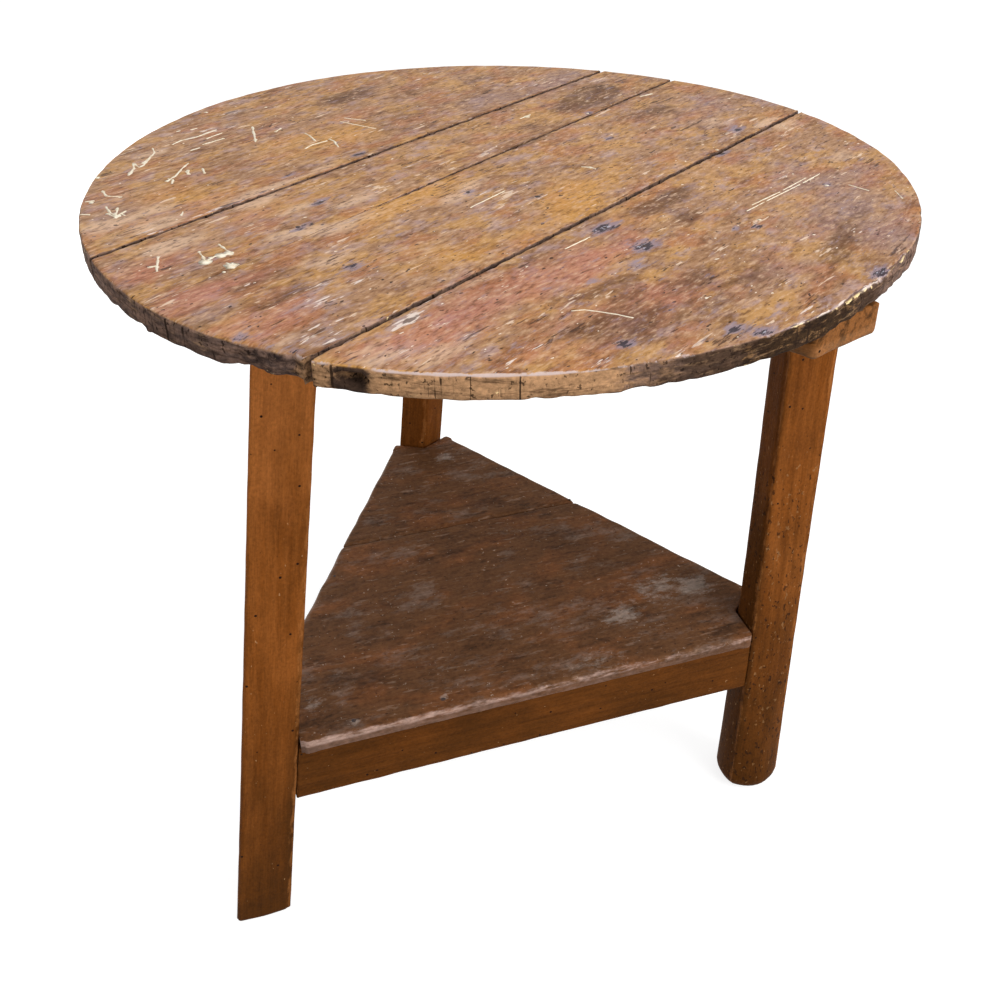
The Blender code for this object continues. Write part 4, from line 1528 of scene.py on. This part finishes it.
def surface_point(pixel):
    point = at_height(pixel, TOP_HEIGHT)
    return point - UP * board_dip(point)


def paint_path(line):
    """Points along a line through pixels, with a little wobble."""
    places = [surface_point(pixel) for pixel in line]
    path = []
    for start, end in zip(places, places[1:]):
        count = math.ceil((end - start).length / PAINT_STEP)
        path.extend(start.lerp(end, step / count) for step in range(count))
    path.append(places[-1])
    wobbles = [rough(point, PAINT_NOISE_SCALE, "paint_wobble") - 0.5 for point in path]
    return [point + ALONG_X * PAINT_WOBBLE * wobble for point, wobble in zip(path, wobbles)]


def paint_lines():
    """Flat lines of paint and scratches, each a closed strip that is highest along its middle."""
    points = []
    faces = []
    wide = [(line, PAINT_WIDTH) for line in PAINT_LINES]
    narrow = [(line, SCRATCH_WIDTH) for line in SCRATCHES]
    for line, usual in wide + narrow:
        path = paint_path(line)
        first = len(points)
        for place, before, after in zip(path, path[:1] + path, path[1:] + path[-1:]):
            spread = PAINT_SPREAD * rough(place, PAINT_NOISE_SCALE, "paint_width") ** 2
            width = usual * (PAINT_THINNEST + spread)
            aside = UP.cross(after - before).normalized() * width
            points.extend((place + aside, place + UP * DROP_RISE, place - aside, place - UP * DROP_SINK))
        last = len(points) - STRIP_SIDES
        for ring in range(first, last, STRIP_SIDES):
            following = ring + STRIP_SIDES
            for here in range(STRIP_SIDES):
                beside = (here - 1) % STRIP_SIDES
                faces.append((ring + here, ring + beside, following + beside, following + here))
        faces.append([first + here for here in range(STRIP_SIDES)])
        faces.append([last + here for here in reversed(range(STRIP_SIDES))])
    return points, faces


def paint_drops():
    """Flat drops of paint with uneven edges, each a closed lens."""
    points = []
    faces = []
    for pixel, radius in PAINT_DROPS:
        middle = surface_point(pixel)
        upper = len(points)
        lower = upper + 1
        points.extend((middle + UP * DROP_RISE, middle - UP * DROP_SINK))
        edge = len(points)
        for aim in spokes(DROP_SIDES):
            spread = rough(middle + aim * radius, DROP_NOISE_SCALE, "drop_edge") - 0.5
            points.append(middle + aim * radius * (1 + DROP_SPREAD * spread))
        for side in range(DROP_SIDES):
            here = edge + side
            following = edge + (side + 1) % DROP_SIDES
            faces.append((upper, here, following))
            faces.append((lower, following, here))
    return points, faces


def add_paint(name, points, faces, material):
    piece = add_object(name, points, faces, material)
    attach(piece, "root")


# Stage


def add_stage():
    mesh = bpy.data.meshes.new("floor")
    shape = bmesh.new()
    bmesh.ops.create_grid(shape, size=FLOOR_SIZE)
    shape.to_mesh(mesh)
    shape.free()
    floor = bpy.data.objects.new("floor", mesh)
    floor.location.z = -FLOOR_DROP
    bpy.context.scene.collection.objects.link(floor)
    mesh.materials.append(floor_material())
    add_world()
    bpy.context.scene.view_settings.view_transform = "Standard"
    for name, (place, size, power) in SOFTBOXES.items():
        add_softbox(name, place, size, power)


def add_world():
    """An even pale light all round, which the camera and reflections see as white."""
    world = bpy.data.worlds.new("studio")
    world.use_nodes = True
    nodes = Nodes(world.node_tree)
    values = {"Value": nodes.seen_rays(), "To Min": WORLD_LIGHT, "To Max": WORLD_SEEN}
    strength = nodes.make("ShaderNodeMapRange", values)["Result"]
    background = world.node_tree.nodes["Background"].inputs
    nodes.put_all(background, {"Color": WHITE, "Strength": strength})
    bpy.context.scene.world = world


def add_softbox(name, place, size, power):
    data = bpy.data.lights.new(name, "AREA")
    data.size = size
    data.energy = power
    lamp = bpy.data.objects.new(name, data)
    lamp.location = place
    lamp.visible_camera = False
    lamp.rotation_euler = Vector(place).to_track_quat("Z", "Y").to_euler()
    bpy.context.scene.collection.objects.link(lamp)


def floor_material():
    """A pale floor that the camera sees white outside the shadow."""
    shade = Shade("floor")
    shade.put_all(shade.shader, {
        "Base Color": FLOOR_GREY,
        "Roughness": 1.0,
        "Specular IOR Level": 0.0,
        "Emission Color": FLOOR_GLOW,
        "Emission Strength": shade.seen_rays(),
    })
    return shade.material


def main():
    stained = frame_material()
    dress_top(top_material())
    dress_shelf(shelf_material())
    dress_stretchers(stained)
    dress_batten(stained)
    dress_legs(stained)
    for node in FRIEZE_RAILS:
        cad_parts[node].material_slots[0].material = rail_material(node)
    dress_nails(iron_material())
    paint = paint_material()
    add_paint("paint_lines", *paint_lines(), paint)
    add_paint("paint_drops", *paint_drops(), paint)
    add_camera()
    add_stage()


main()
